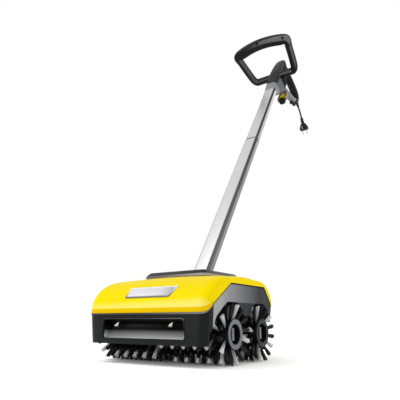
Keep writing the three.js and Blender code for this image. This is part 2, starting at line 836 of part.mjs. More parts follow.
function buildGears(group) {
  const bore = (y, z) => rodX(gearShaftRadius, -far, far, y, z, 12);
  const far = gearboxHalfWidth + overrun;
  for (const [end, sign] of [['front', -1], ['rear', 1]]) {
    const centre = { y: sign * idlerY, z: axleHeight };
    const turn = sign < 0 ? toothTurn(rowTeeth) : 0;
    const idler = cut(
      alongX(gearOutline(rowTeeth, rowRadius, centre, turn), ...leftGears),
      bore(centre.y, centre.z),
    );
    addPart(group, `idler_gear_${end}`, idler, materials.gearPlastic);
  }
  const smallTurn = Math.PI / 2;
  const small = gearOutline(pinionTeeth, pinionRadius, wheelCentre, smallTurn);
  const large = gearOutline(wheelTeeth, wheelRadius, wheelCentre, meshAngle);
  const reduction = cut(
    join(alongX(small, leftGears[0], rightGears[0] + gap), alongX(large, ...rightGears)),
    bore(wheelCentre.y, wheelCentre.z),
  );
  addPart(group, 'reduction_gear', reduction, materials.gearPlastic);

  const pinionTurn = meshAngle + Math.PI + toothTurn(pinionTeeth);
  const motorPinion = join(
    alongX(gearOutline(pinionTeeth, motorPinionRadius, motorCentre, pinionTurn), ...rightGears),
    rodX(motorShaftRadius, rightGears[0] + gap, gearboxHalfWidth + motorShaftLength,
      motorCentre.y, motorCentre.z, 12),
  );
  addPart(group, 'motor_pinion', motorPinion, materials.steel);
}

function buildMotor(group) {
  const start = gearboxHalfWidth + gap;
  const end = start + motorLength;
  const { y, z } = motorCentre;
  const can = join(
    rodX(motorRadius, start, end, y, z, 16),
    rodX(motorEndRadius, end - gap, end + motorEndLength, y, z, 12),
  );
  const bore = rodX(motorShaftRadius + gap, start - overrun, start + motorShaftLength + gap, y, z, 12);
  addPart(group, 'motor', cut(can, bore), materials.steel);
}

// One roller: a bored core with an outer flange, and rings of tufts that stand in rows.
function rollerSolid() {
  const start = gearboxHalfWidth + 5 * gap;
  const face = flangeFaceX;
  const profile = [
    [axleRadius + gap, start], [coreRadius, start], [coreRadius, face - flangeThickness - neckDepth],
    [flangeHoleRadius + neckDepth, face - flangeThickness - neckDepth],
    [flangeHoleRadius + neckDepth, face - flangeThickness], [flangeRadius, face - flangeThickness],
    [flangeRadius, face], [flangeHoleRadius, face], [flangeHoleRadius, face - recessDepth],
    [axleRadius + gap, face - recessDepth], [axleRadius + gap, start],
  ];
  const core = turned(profile, coreSides)
    .rotate([0, 0, THREE.MathUtils.radToDeg(tuftTurn + Math.PI / coreSides)]);
  const rootAt = coreRadius - tuftRootSink;
  const tipAt = tuftTipAt;
  const section = (radius, height) => circle(radius, 0, 0, tuftSides)
    .map(([a, b]) => new THREE.Vector3(a, b, height));
  const tuft = loft([section(tuftRootRadius, rootAt), section(tuftTipRadius, tipAt)]);
  const pitch = (lastRingX - firstRingX) / (ringsOnRoller - 1);
  const tufts = [];
  for (let ring = 0; ring < ringsOnRoller; ring += 1) {
    const lean = ring === ringsOnRoller - 1 ? tuftSplay : 0;
    for (let index = 0; index < tuftsInRing; index += 1) {
      const turn = tuftTurn + (2 * Math.PI * index) / tuftsInRing;
      const matrix = new THREE.Matrix4().makeRotationZ(turn)
        .multiply(new THREE.Matrix4().makeRotationY(Math.PI / 2));
      const shear = new THREE.Matrix4().set(
        1, 0, -lean / (tipAt - rootAt), (lean * rootAt) / (tipAt - rootAt),
        0, 1, 0, 0, 0, 0, 1, 0, 0, 0, 0, 1,
      );
      const place = new THREE.Matrix4().makeTranslation(0, 0, firstRingX + pitch * ring)
        .multiply(matrix).multiply(shear);
      tufts.push(tuft.transform(place.toArray()));
    }
  }
  return join(core, ...tufts).rotate([90, 0, 90]);
}

function buildRollers(group) {
  const right = rollerSolid();
  const floor = box(-flangeFaceX * 2, flangeFaceX * 2, -2 * axleSpacing, 2 * axleSpacing,
    -brushRadius, 0);
  for (const [end, sign] of [['front', -1], ['rear', 1]]) {
    const y = sign * axleY;
    for (const [side, hand] of [['left', -1], ['right', 1]]) {
      const facing = sign < 0 ? right : right.mirror([0, 1, 0]);
      const roller = hand > 0 ? facing : mirrorX(facing);
      const placed = roller.translate([0, y, axleHeight]);
      addPart(group, `${end}_brush_${side}`, cut(placed, floor), materials.bristle);
      const lockStart = flangeFaceX - recessDepth + gap;
      const lock = box(lockStart, lockStart + lockDepth, -lockWidth / 2, lockWidth / 2,
        -lockHeight / 2, lockHeight / 2);
      const clip = cut(lock, rodX(axleRadius + gap, 0, lockStart + lockDepth / 2, 0, 0));
      const seated = (hand > 0 ? clip : mirrorX(clip)).translate([0, y, axleHeight]);
      addPart(group, `${end}_lock_${side}`, seated, materials.greyTrim);
    }
    const reach = flangeFaceX - recessDepth + gap + lockDepth / 2 - gap;
    const axle = rodX(axleRadius, -reach, reach, y, axleHeight);
    addPart(group, `${end}_axle`, axle, materials.steel);
    const centre = { y, z: axleHeight };
    const turn = sign < 0 ? 0 : toothTurn(rowTeeth);
    const gear = cut(
      alongX(gearOutline(rowTeeth, rowRadius, centre, turn), ...leftGears),
      rodX(axleRadius + gap, leftGears[0] - overrun, leftGears[1] + overrun, y, axleHeight),
    );
    addPart(group, `${end}_axle_gear`, gear, materials.gearPlastic);
  }
}

// The bracket that carries the handle pivot stands on the two rear roofs.
function buildBracket(group) {
  const base = axleHeight + roofRadius + roofThickness + gap;
  const ear = (from, to) => alongX(hull([
    ...circle(earHalfDepth, pivotPoint.y, pivotPoint.z, 14),
    [axleY - bracketHalfDepth, base], [axleY + bracketHalfDepth, base],
  ]), from, to);
  const earInner = barrelHalfLength + gap;
  const earOuter = earInner + earThickness;
  const plate = box(-earOuter, earOuter, axleY - bracketHalfDepth, axleY + bracketHalfDepth,
    base, base + bracketThickness);
  const bracket = cut(
    join(plate, ear(earInner, earOuter), ear(-earOuter, -earInner)),
    rodX(pinRadius + gap, -2 * earOuter, 2 * earOuter, pivotPoint.y, pivotPoint.z),
  );
  addPart(group, 'handle_bracket', bracket, materials.handleGrey);
  const { y, z } = pivotPoint;
  const pin = join(
    rodX(pinRadius, -earOuter - gap, earOuter + gap + pinHeadThickness, y, z),
    rodX(pinHeadRadius, -earOuter - gap - pinHeadThickness, -earOuter - gap, y, z),
  );
  addPart(group, 'pivot_pin', pin, materials.steel);
}

// From here on the pieces lie in the frame of the tube: Z runs up the tube from the top of the
// pad, and Y points back and down, square to it.
function tubeOutline(inset) {
  const halfX = tubeWidth / 2 - inset;
  const halfY = tubeDepth / 2 - inset;
  return roundedBox(-halfX, halfX, -halfY, halfY, tubeCornerRadius - inset, 2);
}

const innerInset = tubeWall + tubeSlip;

function buildLowerTube(group) {
  const hollow = (outer, inner, from, to) =>
    cut(alongZ(outer, from, to), alongZ(inner, from - overrun, to + overrun));
  const lower = hollow(tubeOutline(0), tubeOutline(tubeWall), lowerTubeStart, jointAt);
  const stemHole = alongY(circle(heightStemRadius + gap, 0, heightButtonAt, 10), 0, tubeDepth);
  addPart(group, 'lower_tube', cut(lower, stemHole), materials.silver);

  const stemInset = tubeWall + gap;
  const shoulder = alongZ(
    tubeOutline(0), lowerTubeStart - gap - shoulderLength, lowerTubeStart - gap,
  );
  const foot = join(
    rodX(barrelRadius, -barrelHalfLength, barrelHalfLength, 0, -pivotBelow),
    alongZ(tubeOutline(stemInset), -pivotBelow, spigotLength), shoulder,
  );
  const bore = rodX(pinRadius + gap, -2 * barrelHalfLength, 2 * barrelHalfLength, 0, -pivotBelow);
  addPart(group, 'handle_foot', cut(foot, bore), materials.handleGrey);
}

function buildUpperTube(group) {
  const tube = cut(
    alongZ(tubeOutline(innerInset), upperTubeStart, upperTubeEnd),
    alongZ(tubeOutline(innerInset + tubeWall), upperTubeStart - overrun, upperTubeEnd + overrun),
  );
  const grooveHalf = heightStemRadius + gap;
  const groove = box(-grooveHalf, grooveHalf, 0, tubeDepth,
    heightButtonAt - slideUp - 2 * grooveHalf, heightButtonAt + slideDown + 2 * grooveHalf);
  addPart(group, 'upper_tube', cut(tube, groove), materials.silver);
}

// The button stands on the back of the lower tube. Its stem runs in a groove of the upper tube.
function buildTelescopeLock(group) {
  const bush = cut(
    alongZ(tubeOutline(0), jointAt + gap, jointAt + gap + bushLength),
    alongZ(tubeOutline(innerInset - gap), jointAt - overrun, jointAt + bushLength + overrun),
  );
  addPart(group, 'telescope_bush', bush, materials.softBlack);
  const back = tubeDepth / 2;
  const capFrom = back + heightButtonTravel + gap;
  const stemEnd = back - innerInset - tubeWall - heightStemReach;
  const button = join(
    alongY(circle(heightStemRadius, 0, heightButtonAt, 10), stemEnd, capFrom + gap),
    alongY(circle(heightButtonRadius, 0, heightButtonAt, 12), capFrom, capFrom + heightButtonCap),
  );
  addPart(group, 'height_button', button, materials.softBlack);
}

// Bow handle: a closed bar in a plane that leans forward from the tube.
const bowNormal = new THREE.Vector3(0, Math.cos(bowLean), Math.sin(bowLean));
const bowForward = new THREE.Vector3(0, -Math.sin(bowLean), Math.cos(bowLean));
const bowPoint = (x, reach) => new THREE.Vector3(0, -bowBeforeTube, bowAt)
  .addScaledVector(bowForward, reach)
  .add(new THREE.Vector3(x, 0, 0));

const bowTopShares = [0.72, 0.5, 0.25];

function bowPath(extra) {
  const bar = [barHalfWidth + extra, barHalfHeight + extra];
  const grip = [gripHalfWidth + extra, gripHalfHeight + extra];
  const middle = bar.map((half, index) => (half + grip[index]) / 2);
  const half = [];
  const put = (x, reach, size) => half.push({ point: bowPoint(x, reach), half: size });
  const slope = (bowTopHalfWidth - bowBaseHalfWidth) / bowReach;
  put(bowBaseHalfWidth - bowCornerRadius, 0, bar);
  put(bowBaseHalfWidth - bowCornerStart, bowCornerRise, bar);
  put(bowBaseHalfWidth + slope * bowCornerRadius, bowCornerRadius, bar);
  put(bowBaseHalfWidth + slope * bowReach / 2, bowReach / 2, bar);
  put(bowTopHalfWidth - slope * 2 * bowCornerRadius, bowReach - bowShoulder, bar);
  put(bowTopHalfWidth - slope * bowCornerRadius, bowReach - bowKnee, middle);
  put(bowTopHalfWidth - bowCornerStart, bowReach + bowKneeRise, grip);
  for (const share of bowTopShares) {
    put(bowTopHalfWidth * share, bowReach + bowRise * (1 - share ** 2), grip);
  }
  const crown = { point: bowPoint(0, bowReach + bowRise), half: grip };
  const base = { point: bowPoint(0, 0), half: bar };
  const flip = ({ point, half: size }) =>
    ({ point: new THREE.Vector3(-point.x, point.y, point.z), half: size });
  return [base, ...half, crown, ...half.map(flip).reverse()];
}

function buildBow(group) {
  const loop = sweep(bowPath(0), bowNormal, 8, true);
  const reach = 2 * bowReach;
  const slab = (from, to) => {
    const ring = (level) => [[-reach, -reach], [reach, -reach], [reach, reach], [-reach, reach]]
      .map(([x, along]) => bowPoint(x, along).addScaledVector(bowNormal, level));
    return loft([ring(from), ring(to)]);
  };
  const screws = [
    { name: 'middle', x: bowScrewMiddleX },
    { name: 'side', x: bowTopHalfWidth - bowScrewInset },
  ].map(({ name, x }) => ({
    name, foot: bowPoint(x, bowReach + bowRise * (1 - (x / bowTopHalfWidth) ** 2)),
  }));
  const screwRod = (foot, radius, from, to) => loft([from, to].map((level) => circle(radius, 0, 0, 8)
    .map(([a, b]) => foot.clone().addScaledVector(bowNormal, level)
      .addScaledVector(bowForward, b).add(new THREE.Vector3(a, 0, 0)))));
  const lowFace = -gripHalfHeight;
  const holes = screws.map(({ foot }) => screwRod(
    foot, bowScrewRadius + gap, lowFace - overrun, lowFace + 2 * bowScrewDepth,
  ));
  const under = cut(loop, slab(-gap / 2, reach), ...holes);
  const over = cut(loop, slab(-reach, gap / 2));
  addPart(group, 'bow_shell_under', under, materials.softBlack);
  addPart(group, 'bow_shell_over', over, materials.softBlack);
  for (const { name, foot } of screws) {
    const screw = screwRod(foot, bowScrewRadius, lowFace + bowScrewDepth,
      lowFace + 2 * bowScrewDepth - gap);
    addPart(group, `bow_screw_${name}`, screw, materials.steel);
  }
}

// Control housing: a hood round the top of the tube, with a closed grip behind it.
const hoodShares = [
  { at: 0, x: 0.84, front: 0.72, back: 0.3 },
  { at: 0.08, x: 0.88, front: 0.8, back: 0.5 },
  { at: 0.2, x: 0.92, front: 0.9, back: 0.78 },
  { at: 0.43, x: 1, front: 1, back: 1 },
  { at: 0.635, x: 0.893, front: 0.909, back: 0.833 },
  { at: 0.825, x: 0.714, front: 0.682, back: 0.583 },
  { at: 0.958, x: 0.464, front: 0.227, back: 0.367 },
  { at: 1, x: 0.214, front: -0.09, back: 0.233 },
];

// The loop of the rear grip and its strut: shares of its reach and of its height.
const gripShares = [
  { reach: 0.056, at: 0.912, section: 'grip' },
  { reach: 0.225, at: 0.976, section: 'grip' },
  { reach: 0.393, at: 0.984, section: 'grip' },
  { reach: 0.584, at: 1, section: 'grip' },
  { reach: 0.775, at: 1, section: 'grip' },
  { reach: 0.921, at: 0.952, section: 'grip' },
  { reach: 1, at: 0.832, section: 'bend' },
  { reach: 0.972, at: 0.672, section: 'bend' },
  { reach: 0.843, at: 0.52, section: 'strut' },
  { reach: 0.629, at: 0.344, section: 'strut' },
  { reach: 0.416, at: 0.176, section: 'strut' },
  { reach: 0.169, at: 0, section: 'strut' },
];

function controlSolid() {
  const height = housingTopAt - collarAt;
  const hood = loft(hoodShares.map((share) => {
    const front = -hoodFront * share.front;
    const back = hoodBack * share.back;
    const halfX = hoodHalfWidth * share.x;
    const middle = (front + back) / 2;
    const halfY = (back - front) / 2;
    return circle(1, 0, 0, 12, Math.PI / 12).map(([a, b]) => {
      const square = (value) => Math.sign(value) * Math.abs(value) ** hoodSquareness;
      return new THREE.Vector3(
        halfX * square(a), middle + halfY * square(b), collarAt + height * share.at,
      );
    });
  }));
  const sections = {
    grip: [rearGripHalfWidth, rearGripRadius],
    bend: [rearBendHalfWidth, rearBendRadius],
    strut: [strutHalfWidth, strutRadius],
  };
  const path = gripShares.map(({ reach, at, section }) => ({
    point: new THREE.Vector3(0, gripReach * reach, gripAt + gripHeight * (at - 1)),
    half: sections[section],
  }));
  const loop = sweep(path, new THREE.Vector3(1, 0, 0), 8);
  return join(hood, loop);
}

// A turned piece whose own Z is laid down the tube from the mouth of the water inlet.
const onInlet = (solid) => solid.rotate([180, 0, 0]).translate([0, inletN, inletAt]);

function buildControls(group) {
  const tubeBore = alongZ(tubeOutline(innerInset - gap), collarAt - overrun, upperTubeEnd + gap);
  const barBore = sweep(bowPath(gap), bowNormal, 8, true);
  const triggerSlot = triggerSolid(triggerSlotMargin, triggerSwing);
  const lockSlot = box(
    -lockOffHalfWidth - gap, lockOffHalfWidth + gap, lockOffN - lockOffHalfLength - gap,
    lockOffN + lockOffHalfLength + gap, lockOffSeat - lockOffTravel - gap, housingTopAt,
  );
  const stemBore = onInlet(alongZ(circle(inletStemRadius + gap), -inletSink - gap, tapLength));
  const inletBoss = onInlet(alongZ(circle(inletBossRadius), -inletBossLength, 0));
  const glandBore = onLead(turned([
    [0, -glandLength - gap], [glandRadius + gap, -glandLength - gap], [glandRadius + gap, 0], [0, 0],
  ], 12));
  const switchPocket = switchSolid(gap);
  const pinBore = rodX(triggerPinRadius + gap, -triggerPinHalf - gap, triggerPinHalf + gap,
    triggerPinN, triggerPinAt, 10);
  const solid = cut(
    join(controlSolid(), inletBoss),
    switchPocket, pinBore, hookSolid(gap), tubeBore, barBore,
    triggerSlot, lockSlot, stemBore, glandBore,
  );
  const wide = 3 * hoodHalfWidth;
  const half = (from, to) => box(from, to, -wide, 4 * wide, collarAt - overrun,
    housingTopAt + overrun);
  addPart(group, 'control_shell_left', solid.intersect(half(-wide, -gap / 2)), materials.handleGrey);
  addPart(group, 'control_shell_right', solid.intersect(half(gap / 2, wide)), materials.handleGrey);
}

// The trigger, a paddle under the grip that turns on a pin at its front end. Its slot is this
// solid with a margin, and with room above its rear end to swing into.
function triggerSolid(margin, swing) {
  const front = triggerFrontN - margin;
  const rear = triggerRearN + margin;
  const outline = [
    [front, triggerTopAt - triggerDrop / 2 - margin], [front, triggerTopAt + margin],
    [rear, triggerTopAt + margin + swing],
    [rear, triggerTopAt - triggerRearDrop - margin],
    [rear - triggerDrop / 2, triggerTopAt - triggerDrop - margin],
    [front + triggerDrop / 2, triggerTopAt - triggerDrop - margin],
  ];
  return alongX(outline, -triggerHalfWidth - margin, triggerHalfWidth + margin);
}

function switchSolid(margin) {
  return box(-switchHalfWidth - margin, switchHalfWidth + margin, switchFrontN - margin,
    switchRearN + margin, switchBottomAt - margin, switchTopAt + margin);
}

function buildTrigger(group) {
  const bore = rodX(triggerPinRadius + gap, -2 * triggerPinHalf, 2 * triggerPinHalf,
    triggerPinN, triggerPinAt, 10);
  addPart(group, 'trigger', cut(triggerSolid(0, 0), bore), materials.softBlack);
  const pin = rodX(triggerPinRadius, -triggerPinHalf, triggerPinHalf,
    triggerPinN, triggerPinAt, 10);
  addPart(group, 'trigger_pin', pin, materials.steel);
  addPart(group, 'power_switch', switchSolid(0), materials.darkInner);
}

function buildLockOff(group) {
  const top = lockOffSeat + lockOffDepth + lockOffStand;
  const button = box(-lockOffHalfWidth, lockOffHalfWidth, lockOffN - lockOffHalfLength,
    lockOffN + lockOffHalfLength, lockOffSeat, top);
  addPart(group, 'lock_off_button', button, materials.greyTrim);
}

function buildInlet(group) {
  const stem = alongZ(circle(inletStemRadius), -inletSink, tapStart + tapLength + gap);
  const body = join(stem, turned([
    [0, tapStart + tapLength + gap], [connectorRadius, tapStart + tapLength + gap],
    [connectorRadius, tapStart + tapLength + connectorCollarLength],
    [connectorThroatRadius, tapStart + tapLength + connectorCollarLength + connectorTaperLength],
    [connectorThroatRadius, tapStart + tapLength + connectorLength],
    [nippleRadius, tapStart + tapLength + connectorLength],
    [nippleRadius, tapStart + tapLength + connectorLength + nippleLength],
    [0, tapStart + tapLength + connectorLength + nippleLength],
  ], 12));
  const mouth = alongZ(circle(nippleRadius / 2, 0, 0, 10), tapStart + tapLength + overrun,
    tapStart + tapLength + connectorLength + nippleLength + overrun);
  addPart(group, 'hose_connector', onInlet(cut(body, mouth)), materials.softBlack);
}

function buildTap(group) {
  const lobes = Array.from({ length: 2 * tapLobes }, (_, index) => {
    const angle = (Math.PI * index) / tapLobes;
    const radius = tapRadius - (index % 2) * tapLobeDepth;
    return [radius * Math.cos(angle), radius * Math.sin(angle)];
  });
  const knob = cut(
    alongZ(lobes, tapStart, tapStart + tapLength),
    alongZ(circle(inletStemRadius + gap), tapStart - overrun, tapStart + tapLength + overrun),
  );
  addPart(group, 'flow_knob', onInlet(knob), materials.yellowShell);
}

// A hook under the strut that holds a loop of the extension lead. Its root sits in the strut.
function hookSolid(margin) {
  const along = new THREE.Vector3(0, -hookRunN, -hookRunAt).normalize();
  const down = new THREE.Vector3(0, -along.z, along.y);
  const from = new THREE.Vector3(0, hookFromN, hookFromAt);
  const at = (run, drop) => from.clone().addScaledVector(along, run).addScaledVector(down, drop);
  const outline = [
    at(-margin, -hookRoot - margin), at(hookRootLength + margin, -hookRoot - margin),
    at(hookRootLength + margin, hookPlate + margin), at(hookLength + margin, hookPlate + margin),
    at(hookLength + margin, hookDrop + margin), at(hookLength - hookPlate, hookDrop + margin),
    at(hookLength - 2 * hookPlate, 2 * hookPlate + margin), at(-margin, 2 * hookPlate + margin),
  ].map((point) => [point.y, point.z]);
  return alongX(outline, -hookHalfWidth - margin, hookHalfWidth + margin);
}

function buildHook(group) {
  addPart(group, 'cord_hook', hookSolid(0), materials.softBlack);
}

// Mains lead: an arc in the plane of symmetry that turns down evenly from the way it leaves the
// gland to the way it enters the plug.
const cordRadius = cordLength / (cordLeavesAt - cordArrivesAt);
const cordRoute = Array.from({ length: cordPoints }, (_, index) => {
  const way = THREE.MathUtils.lerp(cordLeavesAt, cordArrivesAt, index / (cordPoints - 1));
  return new THREE.Vector3(
    0,
    gripReach + cordExitOut + cordRadius * (Math.sin(cordLeavesAt) - Math.sin(way)),
    gripAt - cordExitBelowGrip - cordRadius * (Math.cos(cordLeavesAt) - Math.cos(way)),
  );
});

// A turned piece whose own Z is laid from a point towards another.
function laidFrom(solid, start, direction) {
  const turn = new THREE.Quaternion().setFromUnitVectors(new THREE.Vector3(0, 0, 1), direction);
  const place = new THREE.Matrix4().compose(start, turn, new THREE.Vector3(1, 1, 1));
  return solid.transform(place.toArray());
}

// Lays a turned piece on the start of the lead, with its own Z along the way the lead leaves.
function onLead(solid) {
  const first = cordRoute[0];
  const leaving = cordRoute[1].clone().sub(first).normalize();
  return laidFrom(solid, first.clone().addScaledVector(leaving, -gap), leaving);
}

function buildGland(group) {
  const gland = turned([
    [0, -glandLength], [glandRadius, -glandLength], [glandRadius, -glandTaper],
    [glandTipRadius, 0], [0, 0],
  ], 12);
  addPart(group, 'cord_gland', onLead(gland), materials.softBlack);
}

function buildLead(group) {
  const last = cordRoute.at(-1);
  const arriving = last.clone().sub(cordRoute.at(-2)).normalize();
  const curve = new THREE.CatmullRomCurve3(cordRoute);
  const section = new THREE.Shape(circle(cordDiameter / 2, 0, 0, cordSides)
    .map(([a, b]) => new THREE.Vector2(a, b)));
  const cord = new THREE.ExtrudeGeometry(section, { steps: 6, extrudePath: curve });
  addPart(group, 'power_cord', toSolid(cord), materials.cordBlack);

  const reliefStart = last.clone().addScaledVector(arriving, gap);
  const relief = turned([
    [0, 0], [reliefTipRadius, 0], [reliefRootRadius, reliefLength], [0, reliefLength],
  ], 12);
  addPart(group, 'plug_relief', laidFrom(relief, reliefStart, arriving), materials.cordBlack);

  const plugStart = reliefStart.clone().addScaledVector(arriving, reliefLength + gap);
  const plugBody = turned([
    [0, 0], [plugRootRadius, 0], [plugFaceRadius, plugLength / 2], [plugFaceRadius, plugLength],
    [0, plugLength],
  ], 14);
  const prong = (sign, radius, from, to) => alongZ(
    circle(radius, (sign * prongSpacing) / 2, 0, 8), from, to,
  );
  const holes = [-1, 1].map((sign) =>
    prong(sign, prongRadius + gap, plugLength - overrun, plugLength + overrun));
  const ringOuter = alongX(circle(pullRingRadius, plugFaceRadius, plugLength / 2, 12),
    -pullRingThickness / 2, pullRingThickness / 2);
  const ringInner = alongX(circle(pullHoleRadius, plugFaceRadius + pullHoleOut, plugLength / 2, 10),
    -pullRingThickness, pullRingThickness);
  const plug = cut(join(plugBody, ringOuter), cut(ringInner, plugBody), ...holes);
  addPart(group, 'plug_body', laidFrom(plug, plugStart, arriving), materials.cordBlack);
  for (const [side, sign] of [['left', -1], ['right', 1]]) {
    const pin = prong(sign, prongRadius, plugLength - overrun + gap, plugLength + prongLength);
    addPart(group, `plug_pin_${side}`, laidFrom(pin, plugStart, arriving), materials.brass);
  }
}

const machine = new THREE.Group();

const head = new THREE.Group();
buildShell(head);
buildPad(head);
buildBadge(head);
buildWater(head);
buildRoofs(head);
buildGearbox(head);
buildGears(head);
buildMotor(head);
buildRollers(head);
buildBracket(head);
machine.add(head);

const handle = new THREE.Group();
handle.position.set(0, tubeBaseY, tubeBaseZ);
handle.rotation.x = -tiltAngle;
buildLowerTube(handle);
const upper = new THREE.Group();
buildUpperTube(upper);
buildTelescopeLock(handle);
buildBow(upper);
buildControls(upper);
buildTrigger(upper);
buildLockOff(upper);
buildInlet(upper);
buildTap(upper);
buildHook(upper);
buildGland(upper);
handle.add(upper);
machine.add(handle);

const extent = new THREE.Box3().setFromObject(machine, true);
machine.position.y = -(extent.min.y + extent.max.y) / 2;
buildLead(upper);

const cleaner = new THREE.Group();
cleaner.add(machine);

export default cleaner;
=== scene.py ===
"""Electric patio cleaner: four tufted rollers under a yellow cover, on a telescopic tube.

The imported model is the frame. This file dresses it: it gives every part its finish, and it
replaces the rollers, the shells, the tubes, the grips and the lead with finer surfaces.
Sizes are in millimetres, in the part's own frame, and become metres when a mesh is made.
"""

import logging
import math
from collections.abc import Sequence
from dataclasses import dataclass, field
from enum import Enum

import bmesh
import bpy
import numpy as np
from bpy.types import ID, Material, Mesh, Node, NodeSocket, NodeTree, Object, Scene
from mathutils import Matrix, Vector


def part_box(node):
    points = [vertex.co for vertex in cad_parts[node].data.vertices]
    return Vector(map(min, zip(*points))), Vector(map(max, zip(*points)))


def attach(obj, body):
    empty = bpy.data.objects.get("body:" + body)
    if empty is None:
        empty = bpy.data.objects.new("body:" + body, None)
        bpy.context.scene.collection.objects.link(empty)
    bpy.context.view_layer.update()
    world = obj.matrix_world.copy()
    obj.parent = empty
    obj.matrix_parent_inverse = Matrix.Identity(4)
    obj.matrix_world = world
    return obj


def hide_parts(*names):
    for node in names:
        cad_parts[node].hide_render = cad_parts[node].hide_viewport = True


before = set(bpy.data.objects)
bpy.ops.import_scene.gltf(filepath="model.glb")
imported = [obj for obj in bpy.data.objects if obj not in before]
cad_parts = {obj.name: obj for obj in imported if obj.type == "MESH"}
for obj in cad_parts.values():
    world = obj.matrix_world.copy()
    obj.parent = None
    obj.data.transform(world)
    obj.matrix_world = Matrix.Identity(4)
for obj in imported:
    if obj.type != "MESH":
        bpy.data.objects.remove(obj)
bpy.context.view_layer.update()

Pair = tuple[float, float]
Triple = tuple[float, float, float]
Four = tuple[float, float, float, float]

LOG = logging.getLogger("patio_cleaner")
MM = 0.001
WHITE = (1.0, 1.0, 1.0, 1.0)

# Where the part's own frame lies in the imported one: its middle is moved back along Y.
HEAD_SHIFT = -348.1606
# The tube leans back by this angle, from a foot at this y and z of the part's own frame.
TILT = math.radians(32.8)
TUBE_FOOT = (69.0, 200.9)

ACROSS = (1.0, 0.0, 0.0)
FORWARD = (0.0, -1.0, 0.0)
BACKWARD = (0.0, 1.0, 0.0)
UPWARD = (0.0, 0.0, 1.0)
UP_TUBE = (0.0, math.sin(TILT), math.cos(TILT))
OUT_OF_TUBE = (0.0, math.cos(TILT), -math.sin(TILT))


class Side(Enum):
    """A side of the machine, as seen from its front."""

    LEFT = "left"
    RIGHT = "right"

    @property
    def sign(self) -> int:
        """The sign of x on this side."""
        return -1 if self is Side.LEFT else 1


class End(Enum):
    """An end of the head."""

    FRONT = "front"
    REAR = "rear"

    @property
    def sign(self) -> int:
        """The sign of y at this end, from the middle between the axles."""
        return -1 if self is End.FRONT else 1


# Finishes


def linear(code: str) -> Four:
    """Turns an sRGB hex colour into the linear one that shaders read.

    Dark values are divided by 12.92, and lighter ones follow a power of 2.4.

    Args:
        code: six hex digits, with or without a leading hash.

    Returns:
        Red, green, blue and an alpha of one.
    """
    digits = code.lstrip("#")
    parts = [int(digits[at : at + 2], 16) / 255 for at in (0, 2, 4)]
    bent = [c / 12.92 if c <= 0.04045 else ((c + 0.055) / 1.055) ** 2.4 for c in parts]
    return (bent[0], bent[1], bent[2], 1.0)


def add_node(
    tree: NodeTree, kind: str, settings: dict | None = None, links: dict | None = None
) -> Node:
    """Adds a node, sets its sockets and properties, and links its inputs.

    Args:
        tree: the node tree that takes the node.
        kind: Blender's name for the node.
        settings: values by socket name or number, or by property name.
        links: output sockets by the name or number of the input that they feed.

    Returns:
        The new node.
    """
    node = tree.nodes.new(kind)
    for key, value in (settings or {}).items():
        if isinstance(key, int) or key in node.inputs:
            node.inputs[key].default_value = value
        else:
            setattr(node, key, value)
    for key, source in (links or {}).items():
        tree.links.new(source, node.inputs[key])
    return node


# The middle of a noise's values, which is spread over the whole change that it makes.
NOISE_RANGE = (0.3, 0.7)


class Grain(Enum):
    """How the small texture of a surface was made."""

    MOULDED = "moulded"
    BRUSHED = "brushed"
    STIPPLED = "stippled"


@dataclass(frozen=True)
class PaintedFade:
    """A slow change of colour along a direction, between two places in millimetres, which paints
    light or shade onto a finish.
    """

    colour: str
    along: Triple
    start: float
    end: float
    power: float = 1.0

    def share(self, tree: NodeTree, place: Node) -> NodeSocket:
        """Adds the nodes that measure how far along a point lies.

        Args:
            tree: the material's node tree.
            place: the node that gives the place on the piece.

        Returns:
            The socket with nought at the start and one at the end.
        """
        far = add_node(
            tree,
            "ShaderNodeVectorMath",
            {"operation": "DOT_PRODUCT", 1: self.along},
            {0: place.outputs["Object"]},
        )
        run = add_node(
            tree,
            "ShaderNodeMapRange",
            {1: self.start * MM, 2: self.end * MM, 3: 0.0, 4: 1.0},
            {0: far.outputs["Value"]},
        )
        bent = add_node(
            tree, "ShaderNodeMath", {"operation": "POWER", 1: self.power}, {0: run.outputs[0]}
        )
        return bent.outputs[0]


